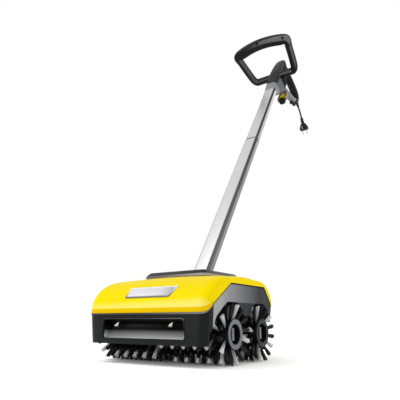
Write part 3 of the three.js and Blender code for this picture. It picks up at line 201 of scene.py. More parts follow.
@dataclass(frozen=True)
class Finish:
    """One real material with its surface, as colours, gloss and two sizes of pattern, with painted
    light or shade where it has a fade.
    """

    name: str
    colour: str
    shade: str
    roughness: float
    metallic: float = 0.0
    ior: float = 1.5
    cloud_mm: float = 70.0
    cloud_share: float = 0.5
    gloss_swing: float = 0.05
    grain: Grain = Grain.MOULDED
    grain_mm: float = 0.9
    grain_depth_mm: float = 0.012
    turn: float = 0.0
    sheen: float = 0.5
    fade: PaintedFade | None = None
    cloud_detail: float = 3.0
    grain_detail: float = 2.0
    brushed_scale: float = 0.03

    def material(self) -> Material:
        """Gives the material, which is built on first use.

        Returns:
            The material.
        """
        known = bpy.data.materials.get(self.name)
        if known:
            return known
        made = bpy.data.materials.new(self.name)
        made.use_nodes = True
        shader = made.node_tree.nodes["Principled BSDF"]
        shader.inputs["Metallic"].default_value = self.metallic
        shader.inputs["IOR"].default_value = self.ior
        shader.inputs["Specular IOR Level"].default_value = self.sheen
        self.wire(made.node_tree, shader)
        return made

    def wire(self, tree: NodeTree, shader: Node) -> None:
        """Feeds the shader with slow clouds of colour and gloss, with the painted light or shade of
        its fade, and with a fine relief.

        Args:
            tree: the material's node tree.
            shader: its shader.
        """
        place = add_node(tree, "ShaderNodeTexCoord")
        stretch = self.brushed_scale if self.grain is Grain.BRUSHED else 1.0
        lay = add_node(
            tree,
            "ShaderNodeMapping",
            {"Rotation": (self.turn, 0.0, 0.0), "Scale": (1.0, 1.0, stretch)},
            {"Vector": place.outputs["Object"]},
        )
        cloud = add_node(
            tree,
            "ShaderNodeTexNoise",
            {"Scale": 1 / (self.cloud_mm * MM), "Detail": self.cloud_detail},
            {"Vector": lay.outputs["Vector"]},
        )
        low, high = NOISE_RANGE
        share = add_node(
            tree,
            "ShaderNodeMapRange",
            {1: low, 2: high, 3: 0.0, 4: self.cloud_share},
            {0: cloud.outputs[0]},
        )
        tint = add_node(
            tree,
            "ShaderNodeMix",
            {"data_type": "RGBA", 6: linear(self.colour), 7: linear(self.shade)},
            {0: share.outputs[0]},
        )
        colour = tint.outputs[2]
        # The fade lays painted light or shade over the colour.
        if self.fade:
            faded = add_node(
                tree,
                "ShaderNodeMix",
                {"data_type": "RGBA", 7: linear(self.fade.colour)},
                {0: self.fade.share(tree, place), 6: colour},
            )
            colour = faded.outputs[2]
        tree.links.new(colour, shader.inputs["Base Color"])
        dull, bright = self.roughness - self.gloss_swing, self.roughness + self.gloss_swing
        gloss = add_node(
            tree, "ShaderNodeMapRange", {1: low, 2: high, 3: dull, 4: bright}, {0: cloud.outputs[0]}
        )
        tree.links.new(gloss.outputs[0], shader.inputs["Roughness"])
        tree.links.new(self.relief(tree, lay.outputs["Vector"]), shader.inputs["Normal"])

    def relief(self, tree: NodeTree, place: NodeSocket) -> NodeSocket:
        """Adds the fine texture of the surface.

        Args:
            tree: the material's node tree.
            place: the socket that gives the place on the piece.

        Returns:
            The socket with the bent normal.
        """
        kind, settings = "ShaderNodeTexNoise", {"Detail": self.grain_detail}
        if self.grain is Grain.STIPPLED:
            kind, settings = "ShaderNodeTexVoronoi", {}
        settings["Scale"] = 1 / (self.grain_mm * MM)
        texture = add_node(tree, kind, settings, {"Vector": place})
        bump = add_node(
            tree,
            "ShaderNodeBump",
            {"Strength": 1.0, "Distance": self.grain_depth_mm * MM},
            {"Height": texture.outputs[0]},
        )
        return bump.outputs[0]


@dataclass(frozen=True)
class BristleFinish(Finish):
    """Filament, and rubber with a painted highlight: a root, a tip and a shade for each strand, by
    attributes.
    """

    tip: str = "#c8c8c8"
    root_share: float = 0.1

    def wire(self, tree: NodeTree, shader: Node) -> None:
        """Feeds the shader from the strand attributes of the tufts, with a fine relief.

        Args:
            tree: the material's node tree.
            shader: its shader.
        """
        shader.inputs["Roughness"].default_value = self.roughness
        along = add_node(tree, "ShaderNodeAttribute", {"attribute_name": "along"})
        strand = add_node(tree, "ShaderNodeAttribute", {"attribute_name": "strand"})
        base = add_node(
            tree,
            "ShaderNodeMix",
            {"data_type": "RGBA", 6: linear(self.shade), 7: linear(self.colour)},
            {0: strand.outputs["Fac"]},
        )
        rise = add_node(
            tree,
            "ShaderNodeMapRange",
            {1: self.root_share, 2: 1.0, 3: 0.0, 4: 1.0},
            {0: along.outputs["Fac"]},
        )
        tint = add_node(
            tree,
            "ShaderNodeMix",
            {"data_type": "RGBA", 7: linear(self.tip)},
            {0: rise.outputs[0], 6: base.outputs[2]},
        )
        tree.links.new(tint.outputs[2], shader.inputs["Base Color"])
        place = add_node(tree, "ShaderNodeTexCoord")
        relief = self.relief(tree, place.outputs["Object"])
        tree.links.new(relief, shader.inputs["Normal"])


# Glossy ABS, coloured through: faint flow clouds from the mould, a soft even shine, and a painted
# pale highlight low on the front above the crease, stronger to the right.
YELLOW_ABS = Finish(
    "moulded yellow ABS",
    "#ffe400",
    "#fddc00",
    0.32,
    cloud_mm=120,
    gloss_swing=0.02,
    sheen=0.02,
    fade=PaintedFade("#fff2a0", (0.03, -1.0, -0.9), 386.0, 424.0, 1.0),
)
# The same plastic along the front edge, painted a little darker as painted shade under the crease.
SHADED_YELLOW_BAND = Finish("yellow ABS edge band with painted shade", "#f6cc00", "#efc400", 0.34, cloud_mm=90, sheen=0.03)
# Polypropylene with a spark-eroded grain: dark, satin, slightly dusty clouds.
BLACK_PP = Finish("satin black polypropylene", "#131415", "#1b1c1d", 0.4, cloud_mm=50, sheen=0.1)
# The side wall has the same plastic with a finer grain, painted pale grey at its front as a painted
# highlight that fades to near black toward the rear.
SIDE_HIGHLIGHT_PP = Finish(
    "side polypropylene with painted highlight",
    "#a6a7a9",
    "#b0b1b3",
    0.34,
    cloud_mm=80,
    sheen=0.15,
    fade=PaintedFade("#1b1c1e", BACKWARD, -455.0, -286.0, 0.8),
)
# A coarser grain between and before the arches: dull, and painted lighter in front as a painted
# highlight.
TOOTH_PP = Finish(
    "coarse grained side polypropylene",
    "#2f3032",
    "#38393b",
    0.42,
    cloud_mm=50,
    sheen=0.1,
    fade=PaintedFade("#161718", BACKWARD, -400.0, -300.0),
)
# The parting edge is painted a lighter grey as a thin painted highlight, lighter still toward the
# right.
EDGE_HIGHLIGHT_PP = Finish(
    "edge polypropylene with painted highlight",
    "#38393b",
    "#414244",
    0.34,
    cloud_mm=30,
    sheen=0.15,
    fade=PaintedFade("#7c7d80", ACROSS, 0.0, 150.0),
)
# Moulded polypropylene, nearly black, with a soft shine on its rounded edges.
CHARCOAL_PP = Finish("charcoal polypropylene", "#101113", "#191a1c", 0.36, cloud_mm=60, sheen=0.15)
# The pad's upright sides have a fine grain, and are painted pale as painted light, paler toward the
# right.
PAD_SIDE_LIGHT_PP = Finish(
    "charcoal pad flank with painted light",
    "#67686f",
    "#73747b",
    0.36,
    cloud_mm=50,
    sheen=0.2,
    fade=PaintedFade("#a2a2a9", ACROSS, -40.0, 90.0),
)
# Plastic painted near black as painted shade where little light reaches, without a shine.
SHADE_BLACK_PP = Finish("black polypropylene with painted shade", "#060606", "#0b0b0c", 0.7, cloud_mm=40, sheen=0.1)
# The curved ramp is painted bright at its foot as painted light, and dark toward its top as painted
# shade.
RAMP_LIGHT_PP = Finish(
    "satin ramp polypropylene with painted light and shade",
    "#e4e4e5",
    "#d8d8d9",
    0.4,
    cloud_mm=40,
    sheen=0.2,
    fade=PaintedFade("#060606", UPWARD, 51.0, 68.0, 0.8),
)
# Plain grey mouldings, even and satin.
GREY_PP = Finish("grey polypropylene", "#77797c", "#85878a", 0.45, cloud_mm=30)
# Moulded grey hubs, clear grey in front; on the rear rollers the grey is painted darker as painted
# shade.
HUB_PP = Finish("grey hub polypropylene", "#78797b", "#88898b", 0.4, cloud_mm=24, sheen=0.15)
SHADED_HUB_PP = Finish("hub polypropylene with painted shade", "#222325", "#2c2d2f", 0.42, cloud_mm=24, sheen=0.15)
# The shield over the tube's top is smooth ABS, dark, with a painted sheen that makes it lighter
# toward the right.
SHIELD_ABS = Finish(
    "dark grey shield ABS",
    "#1b1b1d",
    "#242426",
    0.4,
    cloud_mm=30,
    sheen=0.05,
    fade=PaintedFade("#38383a", ACROSS, -26.0, 16.0, 1.0),
)
# Its flanks turn away from the light and look nearly black.
SHIELD_SIDE_ABS = Finish("dark grey shield flank ABS", "#060607", "#0b0b0c", 0.5, sheen=0.02)
# Grey ABS with a fine grain: an even, matt middle tone; on the low flank it is painted darker as
# painted shade.
COLLAR_ABS = Finish("mid grey ABS", "#8e8f91", "#9c9d9f", 0.42, cloud_mm=40, sheen=0.15)
LOW_FLANK_ABS = Finish("grey ABS", "#606163", "#6a6b6d", 0.42, cloud_mm=40, sheen=0.1)
# Soft grip rubber: matt, with a stipple that breaks up the highlights; its tip colour paints a
# highlight streak along the bow.
GRIP_RUBBER = BristleFinish(
    "stippled grip rubber",
    "#0c0c0d",
    "#121213",
    0.36,
    grain=Grain.STIPPLED,
    grain_mm=1.4,
    grain_depth_mm=0.004,
    sheen=0.12,
    tip="#707072",
)
# Rubber of the buttons, the hook and the connector: black and dull.
SOFT_RUBBER = Finish(
    "black rubber", "#0d0d0e", "#161617", 0.5, grain=Grain.STIPPLED, sheen=0.2
)
# Extruded PVC: smooth, nearly black, with a faint shine.
LEAD_PVC = Finish("black lead sheath", "#08080a", "#101012", 0.4, grain_mm=1.2, sheen=0.25)
# Anodised tube, brushed along its length before the bath: fine lines, soft bright bands, and
# painted light that makes it lighter up the tube.
TUBE_FACE = Finish(
    "brushed anodised aluminium",
    "#bcbcbd",
    "#b9b9ba",
    0.36,
    metallic=0.6,
    gloss_swing=0.0,
    grain=Grain.BRUSHED,
    grain_mm=0.5,
    grain_depth_mm=0.004,
    cloud_mm=300,
    turn=-TILT,
    fade=PaintedFade("#c8c8c9", UP_TUBE, 100.0, 450.0, 1.0),
)
# The same anodised metal on the flanks, turned from the light: painted darker as painted shade at
# the foot, and lighter above as painted light.
TUBE_FLANK = Finish(
    "brushed anodised flank",
    "#88888a",
    "#8e8e90",
    0.4,
    metallic=0.5,
    gloss_swing=0.0,
    grain=Grain.BRUSHED,
    grain_mm=0.5,
    grain_depth_mm=0.004,
    cloud_mm=300,
    turn=-TILT,
    fade=PaintedFade("#e6e6e7", UP_TUBE, 350.0, 900.0, 1.2),
)
# The groove behind the front edge lies in shade, deeper up the tube.
TUBE_GROOVE = Finish(
    "anodised groove",
    "#58585a",
    "#5e5e60",
    0.45,
    metallic=0.3,
    gloss_swing=0.0,
    cloud_mm=300,
    fade=PaintedFade("#101011", UP_TUBE, 40.0, 760.0, 1.0),
)
# Bright plating, painted dark below as a painted reflection of the cover, and white above as a
# painted reflection of the backdrop.
PLATED_METAL = Finish(
    "plated badge rim",
    "#6b6c72",
    "#77787e",
    0.3,
    metallic=0.7,
    grain_mm=0.6,
    fade=PaintedFade("#e6e6e9", UPWARD, 134.0, 151.0),
)
# Finely blasted metal in the rim: pale, and painted darker toward the right as painted shade.
BADGE_FIELD = Finish(
    "satin badge field",
    "#d6d6d8",
    "#dedee0",
    0.35,
    metallic=0.2,
    fade=PaintedFade("#8f8f96", ACROSS, 20.0, 74.0, 1.6),
)
# Turned and ground steel: cool grey, with sharp highlights.
STEEL = Finish("bright steel", "#a4a6aa", "#b4b6b9", 0.28, metallic=1.0, grain_mm=0.5)
# Polished nickel on brass: a warm white, almost a mirror.
NOZZLE_METAL = Finish("nickelled brass", "#c4c4c2", "#d4d4d2", 0.22, metallic=1.0)
# Nickel on the plug's pins: bright and smooth.
PIN_METAL = Finish("nickelled pin", "#b9b9b8", "#cacac8", 0.2, metallic=1.0)
# Moulded acetal: dark, waxy and satin.
BUSH_POM = Finish("dark bush acetal", "#3c3d3f", "#47484a", 0.45, cloud_mm=20)
# Natural acetal: ivory white with a waxy shine.
GEAR_POM = Finish("acetal", "#e1ddcf", "#d5d0c0", 0.4, cloud_mm=20)
# Extruded rubber: nearly black and dull.
HOSE_RUBBER = Finish("feed hose rubber", "#0c0c0d", "#141415", 0.5, sheen=0.2)
# Extruded nylon, cut to length: grey, and nearly white toward the cut tips, partly the filament's
# own look and partly painted light where the tufts lie in shade under the head.
LIGHT_BRISTLE = BristleFinish(
    "grey nylon filament", "#c2c2c2", "#9a9a9a", 0.4, grain_mm=1.0, tip="#f2f2f2", sheen=0.3
)
# The same nylon coloured black, where only single strands catch the light.
DARK_BRISTLE = BristleFinish(
    "black nylon filament", "#0c0c0d", "#050506", 0.42, grain_mm=1.0, tip="#151516", sheen=0.2
)


# Skins


@dataclass
class Skin:
    """A surface on its way to a mesh: points, and faces with the number of their finish."""

    points: np.ndarray
    faces: list[tuple[np.ndarray, int]]

    def __add__(self, other: "Skin") -> "Skin":
        """Both surfaces as one, side by side."""
        moved = [(rows + len(self.points), slot) for rows, slot in other.faces]
        return Skin(np.vstack([self.points, other.points]), self.faces + moved)

    def painted(self, slot: int) -> "Skin":
        """The same surface, all in another finish."""
        return Skin(self.points, [(rows, slot) for rows, _ in self.faces])


def grid_skin(points: np.ndarray, wrap_u: bool = False, wrap_v: bool = False) -> Skin:
    """Joins a grid of points with four-sided faces.

    Args:
        points: the surface at each pair of parameters, as an array (u, v, 3).
        wrap_u: whether the last row meets the first.
        wrap_v: whether the last column meets the first.

    Returns:
        The surface.
    """
    index = np.arange(points.shape[0] * points.shape[1]).reshape(points.shape[:2])
    if wrap_u:
        index = np.vstack([index, index[:1]])
    if wrap_v:
        index = np.hstack([index, index[:, :1]])
    corners = [index[:-1, :-1], index[1:, :-1], index[1:, 1:], index[:-1, 1:]]
    return Skin(points.reshape(-1, 3), [(np.stack(corners, -1).reshape(-1, 4), 0)])


def lofted(rings: np.ndarray, closed: bool = False) -> Skin:
    """Skins a row of closed rings, and closes both ends with a fan about their middle.

    Args:
        rings: points as an array (ring, side, 3).
        closed: whether the last ring meets the first, so that no end is left.

    Returns:
        A closed surface.
    """
    skin = grid_skin(rings, wrap_u=closed, wrap_v=True)
    if closed:
        return skin
    count = rings.shape[1]
    side = np.arange(count)
    for start in (0, (rings.shape[0] - 1) * count):
        hub = len(skin.points)
        skin.points = np.vstack([skin.points, skin.points[start : start + count].mean(0)])
        fan = np.stack([start + side, start + (side + 1) % count, np.full(count, hub)], -1)
        skin.faces.append((fan, 0))
    return skin


def head_place(x: np.ndarray, y: np.ndarray, z: np.ndarray) -> np.ndarray:
    """Places points of the head, given from the ground between the axles."""
    x, y, z = np.broadcast_arrays(x, y, z)
    return np.stack([x, y + HEAD_SHIFT, z], -1)


def handle_place(x: np.ndarray, n: np.ndarray, s: np.ndarray) -> np.ndarray:
    """Places points of the handle.

    Args:
        x: across the machine.
        n: out of the back of the tube.
        s: up along the tube, from the point where it meets the pad.

    Returns:
        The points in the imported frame: y and z are the foot's, plus the two lengths turned by
        the tube's tilt.
    """
    x, n, s = np.broadcast_arrays(x, n, s)
    y = HEAD_SHIFT + TUBE_FOOT[0] + math.sin(TILT) * s + math.cos(TILT) * n
    z = TUBE_FOOT[1] + math.cos(TILT) * s - math.sin(TILT) * n
    return np.stack([x, y, z], -1)


def turn_steps(count: int) -> np.ndarray:
    """Evenly spaced angles of one turn, without the last."""
    return np.linspace(0, 2 * math.pi, count, endpoint=False)


def lathe(
    profile: Sequence[Pair], sides: int, ribs: np.ndarray | None = None
) -> np.ndarray:
    """Turns a profile about an axis.

    Args:
        profile: (radius, height) pairs from one end of the axis to the other.
        sides: how many steps the turn has.
        ribs: a factor on the radius at each step, for flutes and lobes.

    Returns:
        An array (height, side, 3) of radius times cosine, radius times sine, and height.
    """
    radius, height = np.array(profile, float).T
    angle = turn_steps(sides)
    reach = radius[:, None] * (np.ones(sides) if ribs is None else ribs)[None, :]
    tall = np.broadcast_to(height[:, None], reach.shape)
    return np.stack([reach * np.cos(angle), reach * np.sin(angle), tall], -1)


def laid(shape: np.ndarray, start: np.ndarray, way: np.ndarray) -> np.ndarray:
    """Lays a turned shape with its foot on a point and its axis along a way.

    Args:
        shape: points with the axis along the third number.
        start: the foot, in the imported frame.
        way: the direction of the axis.

    Returns:
        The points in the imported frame.
    """
    ahead = way / np.linalg.norm(way)
    aside = np.array(ACROSS)
    across = np.cross(ahead, aside)
    return start + shape @ np.stack([aside, across, ahead])


def rounded_outline(a: float, b: float, radius: float, steps: int = 8) -> np.ndarray:
    """Rounded rectangle about its middle.

    Args:
        a: half its first side.
        b: half its second side.
        radius: the radius of its corners.
        steps: steps of each quarter arc.

    Returns:
        An array (point, 2): corner centres plus the radius times cosine and sine.
    """
    angle = np.linspace(0, math.pi / 2, steps + 1)
    quarters = [(1, 1, 0), (-1, 1, 1), (-1, -1, 2), (1, -1, 3)]
    arcs = [
        np.stack(
            [
                u * (a - radius) + radius * np.cos(angle + k * math.pi / 2),
                v * (b - radius) + radius * np.sin(angle + k * math.pi / 2),
            ],
            -1,
        )
        for u, v, k in quarters
    ]
    return np.vstack(arcs)


def smooth_line(points: np.ndarray, steps: int, closed: bool = False) -> np.ndarray:
    """Runs a smooth curve through points.

    Each stretch is the Catmull-Rom cubic of its own two points and their neighbours.

    Args:
        points: an array (point, any).
        steps: how many points each stretch gets.
        closed: whether the last point leads to the first.

    Returns:
        The points of the curve.
    """
    count = len(points)
    if closed:
        around = [np.roll(points, shift, 0) for shift in (1, 0, -1, -2)]
    else:
        padded = np.vstack(
            [2 * points[0] - points[1], points, 2 * points[-1] - points[-2]]
        )
        around = [padded[shift : shift + count - 1] for shift in range(4)]
    t = np.linspace(0, 1, steps, endpoint=False)[None, :, None]
    p0, p1, p2, p3 = (part[:, None, :] for part in around)
    curve = 0.5 * (
        2 * p1
        + (p2 - p0) * t
        + (2 * p0 - 5 * p1 + 4 * p2 - p3) * t**2
        + (3 * p1 - p0 - 3 * p2 + p3) * t**3
    )
    line = curve.reshape(-1, points.shape[1])
    return line if closed else np.vstack([line, points[-1:]])


def swept(
    line: np.ndarray, normal: Triple, section: np.ndarray, closed: bool = False
) -> np.ndarray:
    """Carries a section along a flat line.

    Each corner lies off the line by its first number, square to the line in the path's plane,
    and by its second number along the normal.

    Args:
        line: the path's points, an array (point, 3).
        normal: the direction square to the path's plane.
        section: (across, up) pairs, an array (side, 2) or (point, side, 2).
        closed: whether the path meets itself.

    Returns:
        Rings as an array (point, side, 3).
    """
    if closed:
        along = np.roll(line, -1, 0) - np.roll(line, 1, 0)
    else:
        along = np.gradient(line, axis=0)
    along /= np.linalg.norm(along, axis=1, keepdims=True)
    square = np.array(normal)
    across = np.cross(along, square)
    across /= np.linalg.norm(across, axis=1, keepdims=True)
    shape = np.broadcast_to(section, (len(line), *section.shape[-2:]))
    return line[:, None] + shape[..., :1] * across[:, None] + shape[..., 1:] * square


# Pieces


def linked(name: str, data: ID) -> Object:
    """Puts a new object with a mesh, a lamp or a camera into the scene.

    Args:
        name: the object's name.
        data: what it shows.

    Returns:
        The object.
    """
    made = bpy.data.objects.new(name, data)
    bpy.context.scene.collection.objects.link(made)
    return made


def meshed(name: str, skin: Skin) -> Mesh:
    """Makes a mesh of a skin, in metres, with the number of its finish on each face.

    Args:
        name: the mesh's name.
        skin: the surface, in millimetres.

    Returns:
        The mesh.
    """
    mesh = bpy.data.meshes.new(name)
    faces = [tuple(row) for rows, _ in skin.faces for row in rows.tolist()]
    mesh.from_pydata((skin.points * MM).tolist(), [], faces)
    slots = np.concatenate([np.full(len(rows), slot) for rows, slot in skin.faces])
    mesh.polygons.foreach_set("material_index", slots.astype(np.int32))
    return mesh


# Points nearer than this are merged, and so are faces that turn by less than this angle.
DOUBLE_MM = 0.004
FLAT_COPY = 0.6
FLAT_CARVED = 0.3
BEVEL_FROM = 30.0
BEVEL_STEPS = 2


def shade(mesh: Mesh, sharp: float) -> None:
    """Smooths a mesh's shading, and keeps the edges sharper than an angle in degrees."""
    mesh.polygons.foreach_set("use_smooth", np.ones(len(mesh.polygons), bool))
    mesh.set_sharp_from_angle(angle=math.radians(sharp))


def cleaned(mesh: Mesh, flat: float = 0.0, outward: bool = True) -> None:
    """Merges doubled points, turns the faces outwards, and joins the faces of flat areas.

    Args:
        mesh: the mesh to clean.
        flat: the largest angle, in degrees, between faces that are joined. Zero joins none.
        outward: whether the normals are worked out anew.
    """
    shape = bmesh.new()
    shape.from_mesh(mesh)
    bmesh.ops.remove_doubles(shape, verts=shape.verts, dist=DOUBLE_MM * MM)
    if flat:
        bmesh.ops.dissolve_limit(
            shape, angle_limit=math.radians(flat), verts=shape.verts, edges=shape.edges
        )
    if outward:
        bmesh.ops.recalc_face_normals(shape, faces=shape.faces)
    shape.to_mesh(mesh)
    shape.free()


@dataclass
class Workshop:
    """Makes pieces, hides the nodes that they stand for, and keeps a list of the pieces."""

    made: list[Object] = field(default_factory=list)

    def piece(
        self,
        name: str,
        shape: Skin | Mesh,
        body: str,
        slot: str,
        finishes: Sequence[Finish],
        nodes: Sequence[str] = (),
        sharp: float = 35.0,
        merge: bool = True,
        values: dict[str, np.ndarray] | None = None,
    ) -> Object:
        """Makes one dressed piece of the scene on its body.

        Args:
            name: the piece's name.
            shape: its surface in millimetres, or its clean mesh in metres.
            body: the moving body that it rides on.
            slot: the record's material slot. It is not used.
            finishes: its finishes, in the order of the shape's numbers.
            nodes: the nodes that it stands for.
            sharp: edges that turn by more degrees than this stay sharp.
            merge: whether a surface's doubled points are merged.
            values: named numbers for a surface, one for each point.

        Returns:
            The new object.
        """
        mesh = meshed(name, shape) if isinstance(shape, Skin) else shape
        for key, numbers in (values or {}).items():
            layer = mesh.attributes.new(key, "FLOAT", "POINT")
            layer.data.foreach_set("value", numbers.astype(np.float32))
        if merge and isinstance(shape, Skin):
            cleaned(mesh)
        shade(mesh, sharp)
        made = linked(name, mesh)
        for finish in finishes:
            mesh.materials.append(finish.material())
        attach(made, body)
        if nodes:
            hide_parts(*nodes)
        self.made.append(made)
        LOG.info("%s: %d faces on %s", name, len(mesh.polygons), body)
        return made

    def rounded_copy(
        self, node: str, body: str, slot: str, finish: Finish, round_mm: float, sharp: float = 32.0
    ) -> Object:
        """Stands for a node with a copy of its own shape that has rounded edges.

        Args:
            node: the node.
            body: the moving body that it rides on.
            slot: the record's material slot.
            finish: its finish.
            round_mm: the width of the rounding. Zero leaves the edges.
            sharp: edges that turn by more degrees than this stay sharp.

        Returns:
            The new object.
        """
        name = f"{node}_dress"
        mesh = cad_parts[node].data.copy()
        mesh.materials.clear()
        cleaned(mesh, flat=FLAT_COPY, outward=False)
        if round_mm:
            mesh = self.settled(name, mesh, round_mm)
        return self.piece(name, mesh, body, slot, [finish], [node], sharp)

    def settled(self, name: str, mesh: Mesh, round_mm: float) -> Mesh:
        """Rounds the edges of a mesh.

        Args:
            name: a name for the result.
            mesh: the mesh to round.
            round_mm: the width of the rounding.

        Returns:
            A new mesh with two steps on each edge of more than 30 degrees.
        """
        carrier = linked(name, mesh)
        bevel = carrier.modifiers.new("edge", "BEVEL")
        bevel.width = round_mm * MM
        bevel.segments = BEVEL_STEPS
        bevel.limit_method = "ANGLE"
        bevel.angle_limit = math.radians(BEVEL_FROM)
        bevel.harden_normals = False
        return self.baked(carrier)

    def baked(self, carrier: Object) -> Mesh:
        """Applies a helper object's modifiers and removes the helper.

        Args:
            carrier: an object that was only made to carry modifiers.

        Returns:
            The resulting mesh.
        """
        graph = bpy.context.evaluated_depsgraph_get()
        result = bpy.data.meshes.new_from_object(carrier.evaluated_get(graph))
        result.name = carrier.name
        bpy.data.objects.remove(carrier)
        return result

    def carved(self, name: str, base: Skin, removed: Sequence[Skin]) -> Mesh:
        """Cuts closed skins out of another.

        Args:
            name: a name for the result.
            base: the closed skin that is cut.
            removed: closed skins to cut away.

        Returns:
            The resulting mesh.
        """
        carrier = self.helper(name, base)
        tools = [self.helper(f"{name}_tool", skin) for skin in removed]
        for tool in tools:
            step = carrier.modifiers.new("carve", "BOOLEAN")
            step.object = tool
            step.operation = "DIFFERENCE"
            step.solver = "EXACT"
        mesh = self.baked(carrier)
        for tool in tools:
            bpy.data.objects.remove(tool)
        cleaned(mesh, flat=FLAT_CARVED, outward=False)
        return mesh

    def helper(self, name: str, skin: Skin) -> Object:
        """A bare object that only lives while another is carved.

        Args:
            name: its name.
            skin: its surface, in millimetres.

        Returns:
            The object.
        """
        mesh = meshed(name, skin)
        cleaned(mesh)
        return linked(name, mesh)

    def dress_node(self, node: str, finish: Finish) -> None:
        """Gives a carried-over node its finish.

        Args:
            node: the node.
            finish: its finish.
        """
        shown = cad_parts[node]
        shown.data.materials.clear()
        shown.data.materials.append(finish.material())


@dataclass
class Assembly:
    """A group of pieces with its sizes, made in one workshop."""

    shop: Workshop


# Camera and light


@dataclass(frozen=True)
class Lamp:
    """One soft rectangular lamp, with its lengths in metres."""

    name: str
    at: Triple
    aim: Triple
    wide: float
    tall: float
    watts: float

    def hang(self) -> None:
        """Adds the lamp to the scene, turned to the point that it faces."""
        light = bpy.data.lights.new(self.name, "AREA")
        light.shape = "RECTANGLE"
        light.size = self.wide
        light.size_y = self.tall
        light.energy = self.watts
        lamp = linked(self.name, light)
        lamp.location = self.at
        way = Vector(self.aim) - Vector(self.at)
        lamp.rotation_euler = way.to_track_quat("-Z", "Y").to_euler()


@dataclass
class Studio:
    """The camera at the photograph's angle, the pale floor and the lamps, in metres."""

    camera_at: Triple = (0.6004, -1.17406, 0.0851)
    look_up: float = 16.0
    look_left: float = 34.2
    lens: float = 37.96
    sensor: float = 36.0
    nearest: float = 0.01
    sky: float = 0.58
    floor_span: float = 40.0
    floor_tone: float = 0.85
    floor_seen: float = 0.8
    fade_from: float = 0.7
    fade_to: float = 1.9
    lamps: tuple[Lamp, ...] = (
        Lamp("key", (-1.3, -1.5, 2.2), (0.0, -0.3, 0.1), wide=0.6, tall=1.2, watts=20.0),
        Lamp("side", (1.9, 0.2, 0.62), (0.1, -0.35, 0.12), wide=0.9, tall=0.5, watts=10.0),
        Lamp("front", (-0.2, -1.9, 0.2), (0.05, -0.45, 0.05), wide=0.8, tall=0.25, watts=6.0),
    )

    def build(self) -> None:
        """Makes the camera, the world, the floor and the lamps."""
        scene = bpy.context.scene
        scene.view_settings.view_transform = "Standard"
        lens = bpy.data.cameras.new("camera")
        lens.lens = self.lens
        lens.sensor_width = self.sensor
        lens.clip_start = self.nearest
        camera = linked("camera", lens)
        camera.location = self.camera_at
        turn = (90 + self.look_up, 0.0, self.look_left)
        camera.rotation_euler = [math.radians(angle) for angle in turn]
        scene.camera = camera
        self.world(scene)
        self.floor()
        for lamp in self.lamps:
            lamp.hang()

    def seen_ray(self, tree: NodeTree) -> NodeSocket:
        """One where the camera, a reflection or a refraction looks, and nought elsewhere.

        Args:
            tree: the node tree that takes the nodes.

        Returns:
            The socket with the number.
        """
        path = add_node(tree, "ShaderNodeLightPath")
        seen = path.outputs["Is Camera Ray"]
        for ray in ("Is Glossy Ray", "Is Transmission Ray"):
            larger = add_node(
                tree, "ShaderNodeMath", {"operation": "MAXIMUM"}, {0: seen, 1: path.outputs[ray]}
            )
            seen = larger.outputs[0]
        return seen

    def world(self, scene: Scene) -> None:
        """A white backdrop that lights the object more softly than it looks.

        Args:
            scene: the scene that takes the world.
        """
        world = bpy.data.worlds.new("studio")
        world.use_nodes = True
        scene.world = world
        tree = world.node_tree
        tree.nodes.clear()
        light = add_node(tree, "ShaderNodeBackground", {"Color": WHITE, "Strength": self.sky})
        seen = add_node(tree, "ShaderNodeBackground", {"Color": WHITE, "Strength": 1.0})
        mix = add_node(
            tree,
            "ShaderNodeMixShader",
            {},
            {0: self.seen_ray(tree), 1: light.outputs[0], 2: seen.outputs[0]},
        )
        add_node(tree, "ShaderNodeOutputWorld", {}, {0: mix.outputs[0]})

    def floor(self) -> None:
        """A pale floor that keeps the shadow near the object and fades to white far away."""
        span = self.floor_span
        mesh = bpy.data.meshes.new("floor")
        corners = [(-span, -span, 0), (span, -span, 0), (span, span, 0), (-span, span, 0)]
        mesh.from_pydata(corners, [], [(0, 1, 2, 3)])
        made = linked("floor", mesh)
        material = bpy.data.materials.new("pale floor")
        material.use_nodes = True
        tree = material.node_tree
        tree.nodes.clear()
        tone = add_node(
            tree,
            "ShaderNodeMath",
            {"operation": "MULTIPLY_ADD", 1: self.floor_seen, 2: self.floor_tone},
            {0: self.seen_ray(tree)},
        )
        near = add_node(tree, "ShaderNodeBsdfDiffuse", {}, {"Color": tone.outputs[0]})
        far = add_node(tree, "ShaderNodeEmission", {"Color": WHITE, "Strength": 1.0})
        place = add_node(tree, "ShaderNodeTexCoord")
        reach = add_node(
            tree, "ShaderNodeVectorMath", {"operation": "LENGTH"}, {0: place.outputs["Object"]}
        )
        fade = add_node(
            tree,
            "ShaderNodeMapRange",
            {
                "interpolation_type": "SMOOTHSTEP",
                1: self.fade_from,
                2: self.fade_to,
                3: 0.0,
                4: 1.0,
            },
            {0: reach.outputs["Value"]},
        )
        both = add_node(
            tree,
            "ShaderNodeMath",
            {"operation": "MULTIPLY"},
            {0: fade.outputs[0], 1: self.seen_ray(tree)},
        )
        mix = add_node(
            tree,
            "ShaderNodeMixShader",
            {},
            {0: both.outputs[0], 1: near.outputs[0], 2: far.outputs[0]},
        )
        add_node(tree, "ShaderNodeOutputMaterial", {}, {0: mix.outputs[0]})
        mesh.materials.append(material)


# Mains lead


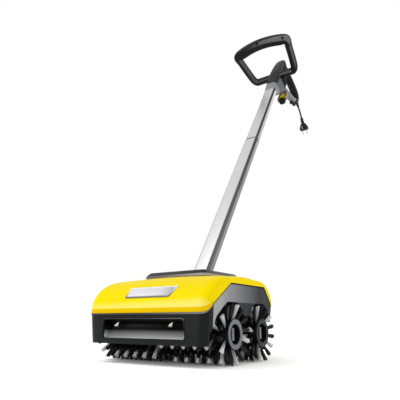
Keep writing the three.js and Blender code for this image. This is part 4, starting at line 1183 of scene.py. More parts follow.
@dataclass
class MainsLead(Assembly):
    """The short lead with its gland, its bend relief, the plug and its pull ring."""

    diameter: float = 7.0
    length: float = 50.0
    points: int = 16
    start: Pair = (214.4, 1111.4)
    leaves: float = math.radians(-9.5)
    arrives: float = math.radians(-28.5)
    gland_length: float = 34.0
    gland_taper: float = 20.0
    gland_radius: float = 7.0
    gland_tip: float = 4.8
    gland_ribs: int = 4
    gland_groove: float = 0.9
    relief_length: float = 30.0
    relief_foot: float = 6.2
    relief_tip: float = 9.0
    relief_ribs: int = 3
    relief_groove: float = 2.0
    plug_length: float = 30.0
    plug_radius: float = 19.0
    plug_edge: float = 1.5
    plug_round: float = 1.2
    root_radius: float = 13.0
    flutes: int = 10
    flute_depth: float = 0.05
    ring_radius: float = 6.0
    ring_steps: int = 24
    ring_section: Triple = (1.9, 2.4, 1.2)
    gap: float = 0.3
    sides: int = 28

    def route(self) -> np.ndarray:
        """The lead's line: an arc whose way turns evenly from leaving to arriving.

        Returns:
            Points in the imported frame, in millimetres.
        """
        bend = self.length / (self.leaves - self.arrives)
        way = np.linspace(self.leaves, self.arrives, self.points)
        n = self.start[0] + bend * (math.sin(self.leaves) - np.sin(way))
        s = self.start[1] - bend * (math.cos(self.leaves) - np.cos(way))
        return handle_place(np.zeros(self.points), n, s)

    def build(self) -> None:
        """Makes the lead and the pieces on it."""
        line = self.route()
        angle = turn_steps(self.sides)
        circle = self.diameter / 2 * np.stack([np.cos(angle), np.sin(angle)], -1)
        lead = self.shop.piece(
            "mains_lead",
            lofted(swept(line, ACROSS, circle)),
            "handle_upper",
            "cord_rubber",
            [LEAD_PVC],
            ["power_cord"],
        )
        leaving = line[1] - line[0]
        arriving = (line[-1] - line[-2]) / np.linalg.norm(line[-1] - line[-2])
        self.gland(line[0] - self.gap * leaving / np.linalg.norm(leaving), leaving)
        foot = line[-1] + self.gap * arriving
        relief = self.relief(foot, arriving)
        plug = self.plug(foot + (self.relief_length + self.gap) * arriving, arriving)

    def ribbed(
        self, length: float, root: float, tip: float, ribs: int, depth: float
    ) -> list[Pair]:
        """A tapered sleeve with ribs round it.

        Args:
            length: how long it is.
            root: its radius at the foot.
            tip: its radius at the far end.
            ribs: how many ribs it has.
            depth: how deep the grooves between them are.

        Returns:
            (radius, height) pairs: a straight taper less a rounded wave.
        """
        share = np.linspace(0, 1, 8 * ribs + 1)
        wave = depth * (0.5 - 0.5 * np.cos(2 * math.pi * ribs * share)) ** 2
        radius = root + (tip - root) * share - wave
        body = [(float(r), float(h * length)) for r, h in zip(radius, share)]
        return [(0.0, 0.0), *body, (0.0, length)]

    def gland(self, at: np.ndarray, way: np.ndarray) -> None:
        """The sleeve where the lead leaves the grip: straight inside it, then tapered.

        Args:
            at: the end of the sleeve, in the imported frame.
            way: the way that the lead leaves.
        """
        taper = self.ribbed(
            self.gland_taper, self.gland_radius, self.gland_tip, self.gland_ribs, self.gland_groove
        )
        profile = [(0.0, -self.gland_length), (self.gland_radius, -self.gland_length)]
        profile += [(r, h - self.gland_taper) for r, h in taper[1:]]
        self.shop.piece(
            "lead_gland",
            lofted(laid(lathe(profile, self.sides), at, way)),
            "handle_upper",
            "soft_black",
            [SOFT_RUBBER],
            ["cord_gland"],
        )

    def relief(self, at: np.ndarray, way: np.ndarray) -> Object:
        """The ribbed sleeve behind the plug.

        Args:
            at: its thin end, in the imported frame.
            way: the way that the lead arrives.

        Returns:
            The sleeve.
        """
        profile = self.ribbed(
            self.relief_length,
            self.relief_foot,
            self.relief_tip,
            self.relief_ribs,
            self.relief_groove,
        )
        return self.shop.piece(
            "plug_sleeve",
            lofted(laid(lathe(profile, self.sides), at, way)),
            "handle_upper",
            "cord_rubber",
            [LEAD_PVC],
            ["plug_relief"],
        )

    def plug(self, at: np.ndarray, way: np.ndarray) -> Object:
        """The round plug with finger flutes and its pull ring.

        Its radius grows with a power of the height up to the middle, and each flute is a cubed
        wave round it.

        Args:
            at: the plug's foot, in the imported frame.
            way: the way that the lead arrives.

        Returns:
            The plug.
        """
        far, edge, root = self.plug_length, self.plug_edge, self.root_radius
        profile = [(0.0, 0.0), (root - edge, 0.0), (root, edge)]
        share = np.linspace(0, 1, 9)
        swell = root + (self.plug_radius - root) * share**1.5
        profile += [(float(r), float(h)) for r, h in zip(swell, edge + share * (far / 2 - edge))]
        profile += [(self.plug_radius, far - edge)]
        profile += [(self.plug_radius - self.plug_round, far), (0.0, far)]
        wave = np.cos(turn_steps(2 * self.sides) * self.flutes)
        flutes = 1 - self.flute_depth * (0.5 + 0.5 * wave) ** 3
        body = lofted(laid(lathe(profile, 2 * self.sides, flutes), at, way))
        around = turn_steps(self.ring_steps)
        circle = [np.zeros(self.ring_steps), np.sin(around), np.cos(around)]
        ring = self.ring_radius * np.stack(circle, -1)
        ring += (0.0, self.plug_radius, far / 2)
        loop = swept(ring, ACROSS, rounded_outline(*self.ring_section, 3), closed=True)
        pull = lofted(laid(loop.reshape(-1, 3), at, way).reshape(loop.shape), closed=True)
        return self.shop.piece(
            "plug_shell",
            body + pull.painted(1),
            "handle_upper",
            "cord_rubber",
            [LEAD_PVC, GREY_PP],
            ["plug_body"],
        )


# Head


@dataclass
class HeadForm:
    """The outer form of the head, as a surface over the width and a side outline."""

    half_width: float = 159.5
    front: float = -157.0
    rear: float = 136.5
    bottom: float = 39.5
    top: float = 182.0
    corner_front: float = 23.0
    corner_rear: float = 18.0
    seam: float = 101.0
    crease: float = 111.0
    crown: float = 5.0
    edge_drop: float = 5.0
    shoulder: float = -70.0
    shoulder_drop: float = 4.0
    rear_shoulder: float = 70.0
    rear_drop: float = 3.0
    rear_knee: float = 124.0
    rear_draft: float = 17.0
    foot_draft: float = 3.0
    foot_top: float = 4.0
    fold: float = 1.0
    tuck: float = 2.6

    def stations(self, grow: float, flat_steps: int = 16, arc_steps: int = 12) -> np.ndarray:
        """Places across the width, closer together round the corners.

        Args:
            grow: how far the surface stands off the form.
            flat_steps: steps from the middle to the corner.
            arc_steps: steps of the corner.

        Returns:
            The places: even steps, then the sines of an even turn, mirrored to the other side.
        """
        wide = self.half_width + grow
        flat = wide - self.corner_front
        arc = flat + self.corner_front * np.sin(np.linspace(0, math.pi / 2, arc_steps + 1))
        right = np.concatenate([np.linspace(0, flat, flat_steps, endpoint=False), arc])
        return np.concatenate([-right[:0:-1], right])

    def outlines(self, x: np.ndarray, grow: float, steps: int = 40) -> np.ndarray:
        """Side outlines of the form, from the front foot over the top to the rear foot.

        The front shoulder is a superellipse whose power falls to one at the sides, the top two
        smooth steps, and the rear shoulder a quarter ellipse. The plan corners then draw each
        outline in towards the middle, and the crown lowers it.

        Args:
            x: places across the width.
            grow: how far the surface stands off the form.
            steps: steps of each shoulder.

        Returns:
            An array (place, point, 2) of y and z.
        """
        front, rear, top = self.front - grow, self.rear + grow, self.top + grow
        half = self.half_width + grow
        power = (4 / 3 - (1 / 3) * (x / half) ** 4)[:, None]
        angle = np.linspace(0, math.pi / 2, steps + 1)[None, :]
        tall = top - self.shoulder_drop
        one = np.ones_like(power)
        foot = [(front + self.foot_draft, self.bottom)]
        foot += [(front + self.foot_draft, self.seam - self.foot_top)]
        foot += [(front + self.tuck, self.seam - self.fold), (front, self.crease)]
        ys = [one * y for y, _ in foot]
        zs = [one * z for _, z in foot]
        ys.append(self.shoulder - (self.shoulder - front) * np.cos(angle[:, 1:]) ** power)
        zs.append(self.crease + (tall - self.crease) * np.sin(angle[:, 1:]) ** power)
        blend = np.linspace(0, 1, 9)[None, 1:]
        soft = blend * blend * (3 - 2 * blend)
        ys.append(one * self.shoulder * (1 - blend))
        zs.append(one * (tall + self.shoulder_drop * soft))
        ys.append(one * self.rear_shoulder * blend)
        zs.append(one * (top - self.rear_drop * soft))
        ys.append(one * (self.rear_shoulder + (rear - self.rear_shoulder) * np.sin(angle[:, 1:])))
        zs.append(
            one * (self.rear_knee + (top - self.rear_drop - self.rear_knee) * np.cos(angle[:, 1:]))
        )
        ys.append(one * (rear - self.rear_draft))
        zs.append(one * self.bottom)
        return self.drawn(x, np.hstack(ys), np.hstack(zs), grow)

    def drawn(self, x: np.ndarray, y: np.ndarray, z: np.ndarray, grow: float) -> np.ndarray:
        """Draws outlines in round the plan corners, and lowers them by the crown.

        Args:
            x: places across the width.
            y: the outlines' y, an array (place, point).
            z: the outlines' z, likewise.
            grow: how far the surface stands off the form.

        Returns:
            An array (place, point, 2).
        """
        half = self.half_width + grow
        middle = (self.front + self.rear) / 2
        depth = (self.rear - self.front) / 2 + grow

        def pull(radius: float) -> np.ndarray:
            """One less the cosine of the plan arc, at each place."""
            past = np.clip((np.abs(x) - half + radius) / radius, 0, 1)
            return 1 - np.sqrt(1 - past**2)

        front = 1 - self.corner_front * pull(self.corner_front) / depth
        rear = 1 - self.corner_rear * pull(self.corner_rear) / depth
        share = np.where(y < middle, front[:, None], rear[:, None])
        drop = self.crown * (x / half) ** 2 + self.edge_drop * pull(self.corner_front)
        height = self.top + grow - self.bottom
        low = 1 - drop[:, None] / height
        return np.stack([middle + (y - middle) * share, self.bottom + (z - self.bottom) * low], -1)


@dataclass
class Cover(Assembly):
    """The yellow cover: the head's form above the seam, with flat side walls and a wall."""

    form: HeadForm
    grow: float = 1.0
    wall: float = 3.0
    slot_half: float = 38.0
    slot_from: float = 32.0
    slot_to: float = 98.0
    slot_above: float = 150.0
    samples: int = 150
    shaded_rows: int = 4
    shaded_rear: float = -62.0
    edge_drop: float = 0.4
    edge_height: float = 3.0
    edge_round: float = 0.6
    edge_stand: Triple = (0.6, 0.9, 0.4)
    edge_depth: float = 0.8
    gap_height: float = 2.6
    gap_half: float = 0.6
    gap_stations: tuple[float, ...] = (-134.5, -133.0, -65.0, 88.0, 117.0)
    crease_point: int = 3
    seam_line: tuple[Pair, ...] = (
        (-170.0, 101.2),
        (-154.0, 101.2),
        (-148.0, 104.2),
        (-133.0, 117.7),
        (-65.0, 160.7),
        (88.0, 160.7),
        (124.0, 119.2),
        (150.0, 119.2),
    )

    def seam_at(self, y: np.ndarray, lift: float = 0.0) -> np.ndarray:
        """Height of the seam at a place along the side."""
        along, height = np.array(self.seam_line).T
        return np.interp(y, along, height + lift)

    def above(self, outline: np.ndarray) -> np.ndarray:
        """The part of one outline that lies above the seam, in even steps.

        Args:
            outline: the outline's (y, z) points.

        Returns:
            Points from the front crossing to the rear one, both worked out on the line.
        """
        over = outline[:, 1] - self.seam_at(outline[:, 0])
        inside = np.flatnonzero(over > 0)
        first, last = inside[0], inside[-1]

        def crossing(low: int, high: int) -> np.ndarray:
            """The point between two neighbours where the outline meets the seam."""
            share = over[low] / (over[low] - over[high])
            return outline[low] + share * (outline[high] - outline[low])

        line = np.vstack(
            [crossing(first - 1, first), outline[first : last + 1], crossing(last + 1, last)]
        )
        run = np.concatenate([[0], np.cumsum(np.linalg.norm(np.diff(line, axis=0), axis=1))])
        even = np.linspace(0, run[-1], self.samples)
        return np.stack([np.interp(even, run, line[:, k]) for k in (0, 1)], -1)

    def build(self) -> None:
        """Makes the cover, the edge under its front and the gaps beside it."""
        x = self.form.stations(self.grow)
        lines = np.stack([self.above(line) for line in self.form.outlines(x, self.grow)])
        skin = grid_skin(head_place(x[:, None], lines[..., 0], lines[..., 1]))
        rows = skin.faces[0][0]
        middle = skin.points[rows].mean(1)
        y = middle[:, 1] - HEAD_SHIFT
        hole = (np.abs(middle[:, 0]) < self.slot_half) & (y > self.slot_from) & (y < self.slot_to)
        kept = ~(hole & (middle[:, 2] >= self.slot_above))
        # The lowest rows at the front take the yellow painted darker, as painted shade under the
        # crease.
        band = (rows[:, 0] % self.samples < self.shaded_rows) & (y < self.shaded_rear)
        skin.faces = [(rows[kept & ~band], 0), (rows[kept & band], 1)]
        share = np.linspace(0, 1, 5)[:, None]
        for edge in (0, -1):
            line = lines[edge]
            foot = self.seam_at(line[:, 0])
            height = line[None, :, 1] + (foot - line[:, 1])[None, :] * share
            wall = head_place(x[edge], line[None, :, 0], height)
            skin = skin + grid_skin(wall[:: 1 if edge else -1])
        mesh = meshed("cover", skin)
        cleaned(mesh)
        carrier = linked("cover", mesh)
        thick = carrier.modifiers.new("wall", "SOLIDIFY")
        thick.thickness = self.wall * MM
        thick.offset = -1.0
        thick.use_rim = True
        self.shop.piece(
            "yellow_cover",
            self.shop.baked(carrier),
            "head",
            "yellow_shell",
            [YELLOW_ABS, SHADED_YELLOW_BAND],
            ["top_cover"],
            40,
        )
        self.front_edge()
        for side in Side:
            self.side_gap(side)

    def front_edge(self) -> None:
        """The upper edge of the housing, under the cover and round its corners, painted as a thin
        painted highlight.

        Its section runs round by pairs of how far it stands off the form and off the seam.
        """
        high = -self.edge_drop
        low = high - self.edge_height
        foot, brow, top = self.edge_stand
        section = [(-self.edge_depth, low), (foot, low), (brow, high - self.edge_round)]
        section += [(top, high), (-self.edge_depth, high)]
        sides = []
        for grow, lift in section:
            x = self.form.stations(grow)
            y = self.form.outlines(x, grow)[:, self.crease_point, 0]
            sides.append(head_place(x, y, self.seam_at(y, lift)))
        rings = np.stack(sides, 1)
        self.shop.piece("front_edge", lofted(rings), "head", "black_shell", [EDGE_HIGHLIGHT_PP], [], 50)

    def side_gap(self, side: Side) -> None:
        """The joint between the cover and the side wall: a near-black strip, painted as shade in
        the gap.

        Args:
            side: where it is.
        """
        y = np.array(self.gap_stations)
        half, low = self.gap_half, -self.gap_height
        x = side.sign * self.form.half_width
        section = [(-half, 0.0), (half, 0.0), (half, low), (-half, low)]
        rings = np.stack(
            [
                head_place(x + side.sign * out, y, self.seam_at(y) + lift)
                for out, lift in section
            ],
            1,
        )
        self.shop.piece(
            f"side_gap_{side.value}", lofted(rings), "head", "dark_inner", [SHADE_BLACK_PP], [], 30
        )


@dataclass
class Badge(Assembly):
    """The bare badge: a plated rim round a satin field, curved with the cover's front."""

    form: HeadForm
    top_width: float = 132.0
    bottom_width: float = 118.6
    height: float = 32.0
    slant: float = 1.4
    middle: float = 6.4
    rim: float = 4.0
    rim_round: float = 0.7
    rim_stand: float = 2.2
    field_stand: float = 1.5
    foot_stand: float = 1.3
    corner: float = 3.5
    corner_least: float = 0.6
    slope: float = math.radians(50)
    centre_y: float = -133.5
    centre_z: float = 139.6
    front_points: tuple[int, int] = (3, 44)

    def build(self) -> None:
        """Makes the badge."""
        edge, high, low = self.rim_round, self.rim_stand, self.field_stand
        section = [(0.0, 0.0), (0.0, low), (edge, high), (self.rim - edge, high), (self.rim, low)]
        rim = grid_skin(np.stack([self.loop(*point) for point in section]), wrap_v=True)
        shares = np.linspace(1, 0.02, 8)
        core = grid_skin(self.loop(self.rim, low, shares), wrap_v=True)
        back = grid_skin(self.loop(0.0, 0.0, shares), wrap_v=True)
        self.shop.piece(
            "bare_badge",
            rim + core.painted(1) + back,
            "head",
            "badge_metal",
            [PLATED_METAL, BADGE_FIELD],
            ["badge_plate"],
        )

    def loop(self, inset: float, stand: float, shares: np.ndarray | None = None) -> np.ndarray:
        """The badge's outline, drawn in and laid on the cover.

        Args:
            inset: how far it is drawn in.
            stand: how far it stands off the badge's foot.
            shares: if given, the outline is also shrunk by each of these about its middle.

        Returns:
            An array (point, 3), or (share, point, 3).
        """
        half = self.height / 2 - inset
        wide = (self.top_width + self.bottom_width) / 4 - inset
        flat = rounded_outline(wide, half, max(self.corner - inset, self.corner_least), 5)
        sheared = flat.copy()
        up = flat[:, 1] / (self.height / 2)
        grow = 1 + (self.top_width - self.bottom_width) / (4 * wide) * up
        sheared[:, 0] = flat[:, 0] * grow + self.middle + self.slant * up
        if shares is not None:
            centre = np.array([self.middle, 0.0])
            sheared = centre + (sheared - centre) * shares[:, None, None]
        return self.on_cover(sheared[..., 0], sheared[..., 1], stand + self.foot_stand)

    def on_cover(self, x: np.ndarray, v: np.ndarray, stand: float) -> np.ndarray:
        """Lays flat places on the sloping front of the cover.

        Each outline of the form is turned into the badge's slope, and its height above the
        slope is read off where the place lies.

        Args:
            x: places across the width.
            v: places up the slope, from the badge's middle.
            stand: how far off the form they stand.

        Returns:
            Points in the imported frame.
        """
        xs, vs = x.ravel(), v.ravel()
        outlines = self.form.outlines(xs, stand)
        cos, sin = math.cos(self.slope), math.sin(self.slope)
        ahead, above = outlines[..., 0] - self.centre_y, outlines[..., 1] - self.centre_z
        window = slice(*self.front_points)
        up = (ahead * cos + above * sin)[:, window]
        out = (-ahead * sin + above * cos)[:, window]
        level = np.array([np.interp(at, u, o) for at, u, o in zip(vs, up, out)])
        y = self.centre_y + vs * cos - level * sin
        z = self.centre_z + vs * sin + level * cos
        return head_place(xs, y, z).reshape(*x.shape, 3)


@dataclass
class Mouth(Assembly):
    """The wide opening at the front: its lip, the wall behind it, painted near black as painted
    shade, and the two spray tips.
    """

    form: HeadForm
    top_half: float = 106.0
    bottom_half: float = 112.0
    top: float = 89.6
    bottom: float = 50.5
    radius: float = 4.0
    lip: float = 0.8
    lip_stand: float = 1.1
    lip_round: float = 0.7
    wall_y: Pair = (-132.0, -130.6)
    wall_z: float = 91.0
    wall_half: float = 7.0
    cheek_inset: float = 1.0
    cheek_front: float = -151.5
    cheek_depth: float = 18.0
    cheek_z: float = 76.0
    cheek_half: float = 22.0
    cheek_round: float = 2.0
    tip_x: float = 73.0
    tip_inset: float = 3.5
    tip_y: float = -149.0
    tip_z: float = 74.0
    tip_way: Triple = (0.45, 0.25, 0.85)
    tip_sides: int = 28
    tip_rings: int = 4
    tip_profile: tuple[Pair, ...] = (
        (0.0, 0.0), (4.0, 0.0), (4.7, 0.6), (4.5, 3.4), (2.8, 9.0), (2.0, 9.2), (2.0, 19.0)
    )

    def build(self) -> None:
        """Makes the lip, the wall, the cheeks and the tips."""
        form = self.form
        half = (self.top - self.bottom) / 2
        wide = (self.top_half + self.bottom_half) / 2
        flat = rounded_outline(wide, half, self.radius, 6)
        lean = (self.bottom_half - self.top_half) / (2 * half)
        x = flat[:, 0] * (1 - lean * flat[:, 1] / (2 * wide))
        z = (self.top + self.bottom) / 2 + flat[:, 1]
        slope = form.foot_draft / (form.seam - form.bottom)
        y = form.front + form.foot_draft - slope * (z - form.bottom)
        section = rounded_outline(self.lip, self.lip_stand, self.lip_round, 3)
        rings = swept(head_place(x, y, z), FORWARD, section, closed=True)
        skin = lofted(rings, closed=True)
        rows = skin.faces[0][0]
        # The lip's top takes the edge's thin painted highlight.
        top = skin.points[rows].mean(1)[:, 2] > self.top - self.radius
        skin.faces = [(rows[~top], 0), (rows[top], 1)]
        self.shop.piece("mouth_lip", skin, "head", "black_shell", [BLACK_PP, EDGE_HIGHLIGHT_PP], [])
        wall = rounded_outline(self.bottom_half, self.wall_half, self.cheek_round, 3)
        rings = [head_place(wall[:, 0], at, self.wall_z + wall[:, 1]) for at in self.wall_y]
        self.dark("mouth_rear_wall", np.stack(rings))
        for side in Side:
            self.cheek(side)
            self.spray_tip(side)

    def dark(self, name: str, rings: np.ndarray) -> None:
        """Makes one plain wall inside the opening, painted near black as painted shade.

        Args:
            name: the wall's name.
            rings: the outline at each of its faces.
        """
        self.shop.piece(name, lofted(rings), "head", "dark_inner", [SHADE_BLACK_PP], [])

    def cheek(self, side: Side) -> None:
        """The reveal at one end of the opening, which closes it off from the roller's arch.

        Args:
            side: the end that it closes.
        """
        x = side.sign * (self.bottom_half - self.cheek_inset)
        wall = rounded_outline(self.cheek_depth / 2, self.cheek_half, self.cheek_round, 3)
        y = self.cheek_front + self.cheek_depth / 2 + wall[:, 0]
        rings = [head_place(at, y, self.cheek_z + wall[:, 1]) for at in (x - 1, x + 1)]
        self.dark(f"mouth_cheek_{side.value}", np.stack(rings))

    def spray_tip(self, side: Side) -> None:
        """One conical spray tip under the spray bar, turned forwards.

        Args:
            side: where it is.
        """
        x = side.sign * self.tip_x - self.tip_inset
        start = head_place(np.array(x), np.array(self.tip_y), np.array(self.tip_z))
        rings = laid(lathe(self.tip_profile, self.tip_sides), start, np.array(self.tip_way))
        skin = lofted(rings)
        rows = skin.faces[0][0]
        # The stem beyond the cone takes the near-black finish painted as shade inside the opening.
        stem = rows.max(1) // self.tip_sides > self.tip_rings
        skin.faces[0] = (rows[~stem], 0)
        skin.faces.append((rows[stem], 1))
        self.shop.piece(
            f"spray_tip_{side.value}",
            skin,
            "head",
            "nozzle_metal",
            [NOZZLE_METAL, SHADE_BLACK_PP],
            [f"spray_nozzle_{side.value}"],
        )


@dataclass
class Roller(Assembly):
    """One tufted roller with its hub, pressed on half an axle."""

    end: End
    side: Side
    axle_y: float = 60.4
    axle_z: float = 59.442
    start: float = 14.0
    face: float = 165.9
    core: float = 23.0
    flange: float = 30.0
    hole: float = 19.7
    recess: float = 15.0
    flange_thick: float = 3.0
    neck: float = 3.0
    bore: float = 5.3
    hub_sides: int = 64
    flange_rows: tuple[int, int] = (9, 15)
    first_ring: float = 18.8
    last_ring: float = 153.0
    rings: int = 11
    tufts: int = 16
    tuft_turn: float = math.radians(25)
    end_tufts: int = 16
    end_turn: float = math.radians(76)
    end_light: int = 3
    left_turn: float = math.radians(-10)
    sunk: float = 0.5
    tip: float = 59.4
    root_radius: float = 1.8
    tip_radius: float = 5.1
    flare: float = 1.3
    first_lean: float = -1.0
    ring_lean: float = 0.5
    splay: float = 10.0
    cone_share: float = 0.86
    cone_sides: int = 14
    cone_levels: tuple[float, ...] = (0.0, 0.35, 0.7, 0.93)
    cone_ribs: int = 7
    rib_depth: float = 0.1
    cone_shade: float = 0.2
    strands: int = 20
    strand_sides: int = 3
    strand_levels: tuple[float, ...] = (0.05, 0.55, 1.0)
    strand_radius: float = 0.62
    strand_thins: float = 0.12
    strand_short: float = 0.05

    def build(self) -> None:
        """Makes the roller."""
        hub = self.hub()
        tufts, along, strand = self.all_tufts()
        skin = hub + tufts
        if (self.end is End.REAR) != (self.side is Side.LEFT):
            skin.faces = [(rows[:, ::-1], slot) for rows, slot in skin.faces]
        pad = np.zeros(len(hub.points))
        # The rear rollers' hubs take the grey painted darker as painted shade.
        hub_finish = HUB_PP if self.end is End.FRONT else SHADED_HUB_PP
        self.shop.piece(
            f"{self.end.value}_roller_{self.side.value}",
            Skin(self.placed(skin.points), skin.faces),
            f"{self.end.value}_roller",
            "bristle",
            [BLACK_PP, LIGHT_BRISTLE, DARK_BRISTLE, hub_finish],
            [f"{self.end.value}_brush_{self.side.value}"],
            merge=False,
            values={"along": np.concatenate([pad, along]), "strand": np.concatenate([pad, strand])},
        )

    def placed(self, points: np.ndarray) -> np.ndarray:
        """Moves a right front roller's points, laid along X, to this roller's axle.

        Args:
            points: points about the axle.

        Returns:
            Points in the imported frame, none of them below the floor.
        """
        x = points[:, 0] * self.side.sign
        y = (self.axle_y - points[:, 1]) * self.end.sign
        z = np.maximum(points[:, 2] + self.axle_z, 0.0)
        return head_place(x, y, z)

    def hub(self) -> Skin:
        """The core tube with its flange: a closed profile turned about the axle.

        Returns:
            The hub about the X axis. The flange has a finish of its own.
        """
        inner = self.face - self.recess
        back = self.face - self.flange_thick
        waist = self.hole + self.neck
        profile = [
            (self.bore, self.start),
            (self.core - 1, self.start),
            (self.core, self.start + 1),
            (self.core, back - self.neck - 0.5),
            (waist, back - self.neck),
            (waist, back),
            (self.flange - 0.8, back),
            (self.flange, back + 0.8),
            (self.flange, self.face - 1.2),
            (self.flange - 1.2, self.face),
            (self.flange - 3.2, self.face),
            (self.flange - 3.6, self.face - 0.5),
            (self.hole + 2.6, self.face - 0.5),
            (self.hole + 2.2, self.face),
            (self.hole + 0.9, self.face),
            (self.hole, self.face - 0.9),
            (self.hole, inner),
            (self.bore, inner),
        ]
        shape = lathe(profile, self.hub_sides)
        rings = np.stack([shape[..., 2], shape[..., 0], shape[..., 1]], -1)
        skin = grid_skin(rings, wrap_u=True, wrap_v=True)
        rows = skin.faces[0][0]
        level = rows // self.hub_sides
        first, last = self.flange_rows
        on_flange = (level.min(1) >= first) & (level.max(1) <= last)
        return Skin(skin.points, [(rows[~on_flange], 0), (rows[on_flange], 3)])

    def one_tuft(self) -> tuple[np.ndarray, list[np.ndarray], np.ndarray]:
        """A tuft about the Z axis, from its root at nought to its tip at one.

        A ribbed cone fills the middle, and strands stand in a sunflower round about it: the
        radius of each grows with the root of its number, and its angle by the golden angle.

        Returns:
            Points as (x, y, share of the length), faces by their number of sides, and the shade
            of the strand at each point.
        """
        levels = np.array(self.cone_levels)
        ribs = 1 + self.rib_depth * np.cos(turn_steps(self.cone_sides) * self.cone_ribs)
        wide = self.radius_at(levels) * self.cone_share
        parts = [lofted(lathe(list(zip(wide, levels)), self.cone_sides, ribs))]
        shades = [np.full(len(parts[0].points), self.cone_shade)]
        order = np.arange(self.strands)
        spread = np.sqrt((order + 0.5) / self.strands)
        angle = order * math.pi * (3 - math.sqrt(5))
        reach = 1 - self.strand_short * ((order * 7) % 5) / 5
        turn = turn_steps(self.strand_sides)
        for at in range(self.strands):
            rings = []
            for share in self.strand_levels:
                level = share * reach[at]
                centre = self.radius_at(level) * spread[at]
                thick = self.strand_radius - self.strand_thins * share
                ring = [
                    centre * math.cos(angle[at]) + thick * np.cos(turn + at),
                    centre * math.sin(angle[at]) + thick * np.sin(turn + at),
                    np.full(self.strand_sides, level),
                ]
                rings.append(np.stack(ring, -1))
            parts.append(lofted(np.stack(rings)))
            shades.append(np.full(len(parts[-1].points), ((at * 5) % 8) / 7))
        skin = parts[0]
        for part in parts[1:]:
            skin = skin + part
        faces = [
            np.vstack([rows for rows, _ in skin.faces if rows.shape[1] == sides])
            for sides in (4, 3)
        ]
        return skin.points, faces, np.concatenate(shades)

    def radius_at(self, level: np.ndarray) -> np.ndarray:
        """The tuft's radius at a share of its length, from root to tip by a power."""
        return self.root_radius + (self.tip_radius - self.root_radius) * level**self.flare

    def all_tufts(self) -> tuple[Skin, np.ndarray, np.ndarray]:
        """Every tuft of the roller, one in four of them light and one in three at its end.

        Each tuft leans further out toward the roller's end. The rear rollers stand half a tuft
        further round, and on the left side the light tufts start one row later.

        Returns:
            The tufts about the axle, and the share of the length and the shade at each point.
        """
        tuft, faces, shades = self.one_tuft()
        ring, turn = np.meshgrid(np.arange(self.rings), np.arange(self.tufts), indexing="ij")
        inner = self.tufts * (self.rings - 1)
        last = np.arange(self.end_tufts)
        ring = np.concatenate([ring.ravel()[:inner], np.full(self.end_tufts, self.rings - 1)])
        turn = np.concatenate([turn.ravel()[:inner], last])
        pitch = (self.last_ring - self.first_ring) / (self.rings - 1)
        turned = self.left_turn if self.side is Side.LEFT else 0.0
        start = self.tuft_turn + (math.pi / self.tufts if self.end is End.REAR else 0.0)
        angle = start + turned + 2 * math.pi * turn / self.tufts
        angle[inner:] = self.end_turn + turned + 2 * math.pi * last / self.end_tufts
        lean = np.where(ring == self.rings - 1, self.splay, self.ring_lean * ring)
        lean = np.where(ring == 0, self.first_lean, lean)
        root = self.core - self.sunk
        radius = root + (self.tip - root) * tuft[None, :, 2]
        axial = (
            self.first_ring
            + pitch * ring[:, None]
            + tuft[None, :, 0]
            + lean[:, None] * tuft[None, :, 2]
        )
        axial, aside = np.broadcast_arrays(axial, tuft[None, :, 1])
        cos, sin = np.cos(angle)[:, None], np.sin(angle)[:, None]
        points = np.stack([axial, radius * cos - aside * sin, radius * sin + aside * cos], -1)
        first = 0 if self.side is Side.RIGHT else 1
        light = (turn % 2 == 0) & ((ring + turn // 2) % 2 == first)
        last = (last + (self.end_light if self.end is End.REAR else 0)) % self.end_tufts
        light[inner:] = (last % self.end_light == first) & (last < self.end_tufts - 1)
        dressed = []
        for is_light, slot in ((True, 1), (False, 2)):
            starts = np.flatnonzero(light == is_light) * len(tuft)
            for rows in faces:
                moved = (rows[None] + starts[:, None, None]).reshape(-1, rows.shape[1])
                dressed.append((moved, slot))
        skin = Skin(points.reshape(-1, 3), dressed)
        return skin, np.tile(tuft[:, 2], len(ring)), np.tile(shades, len(ring))


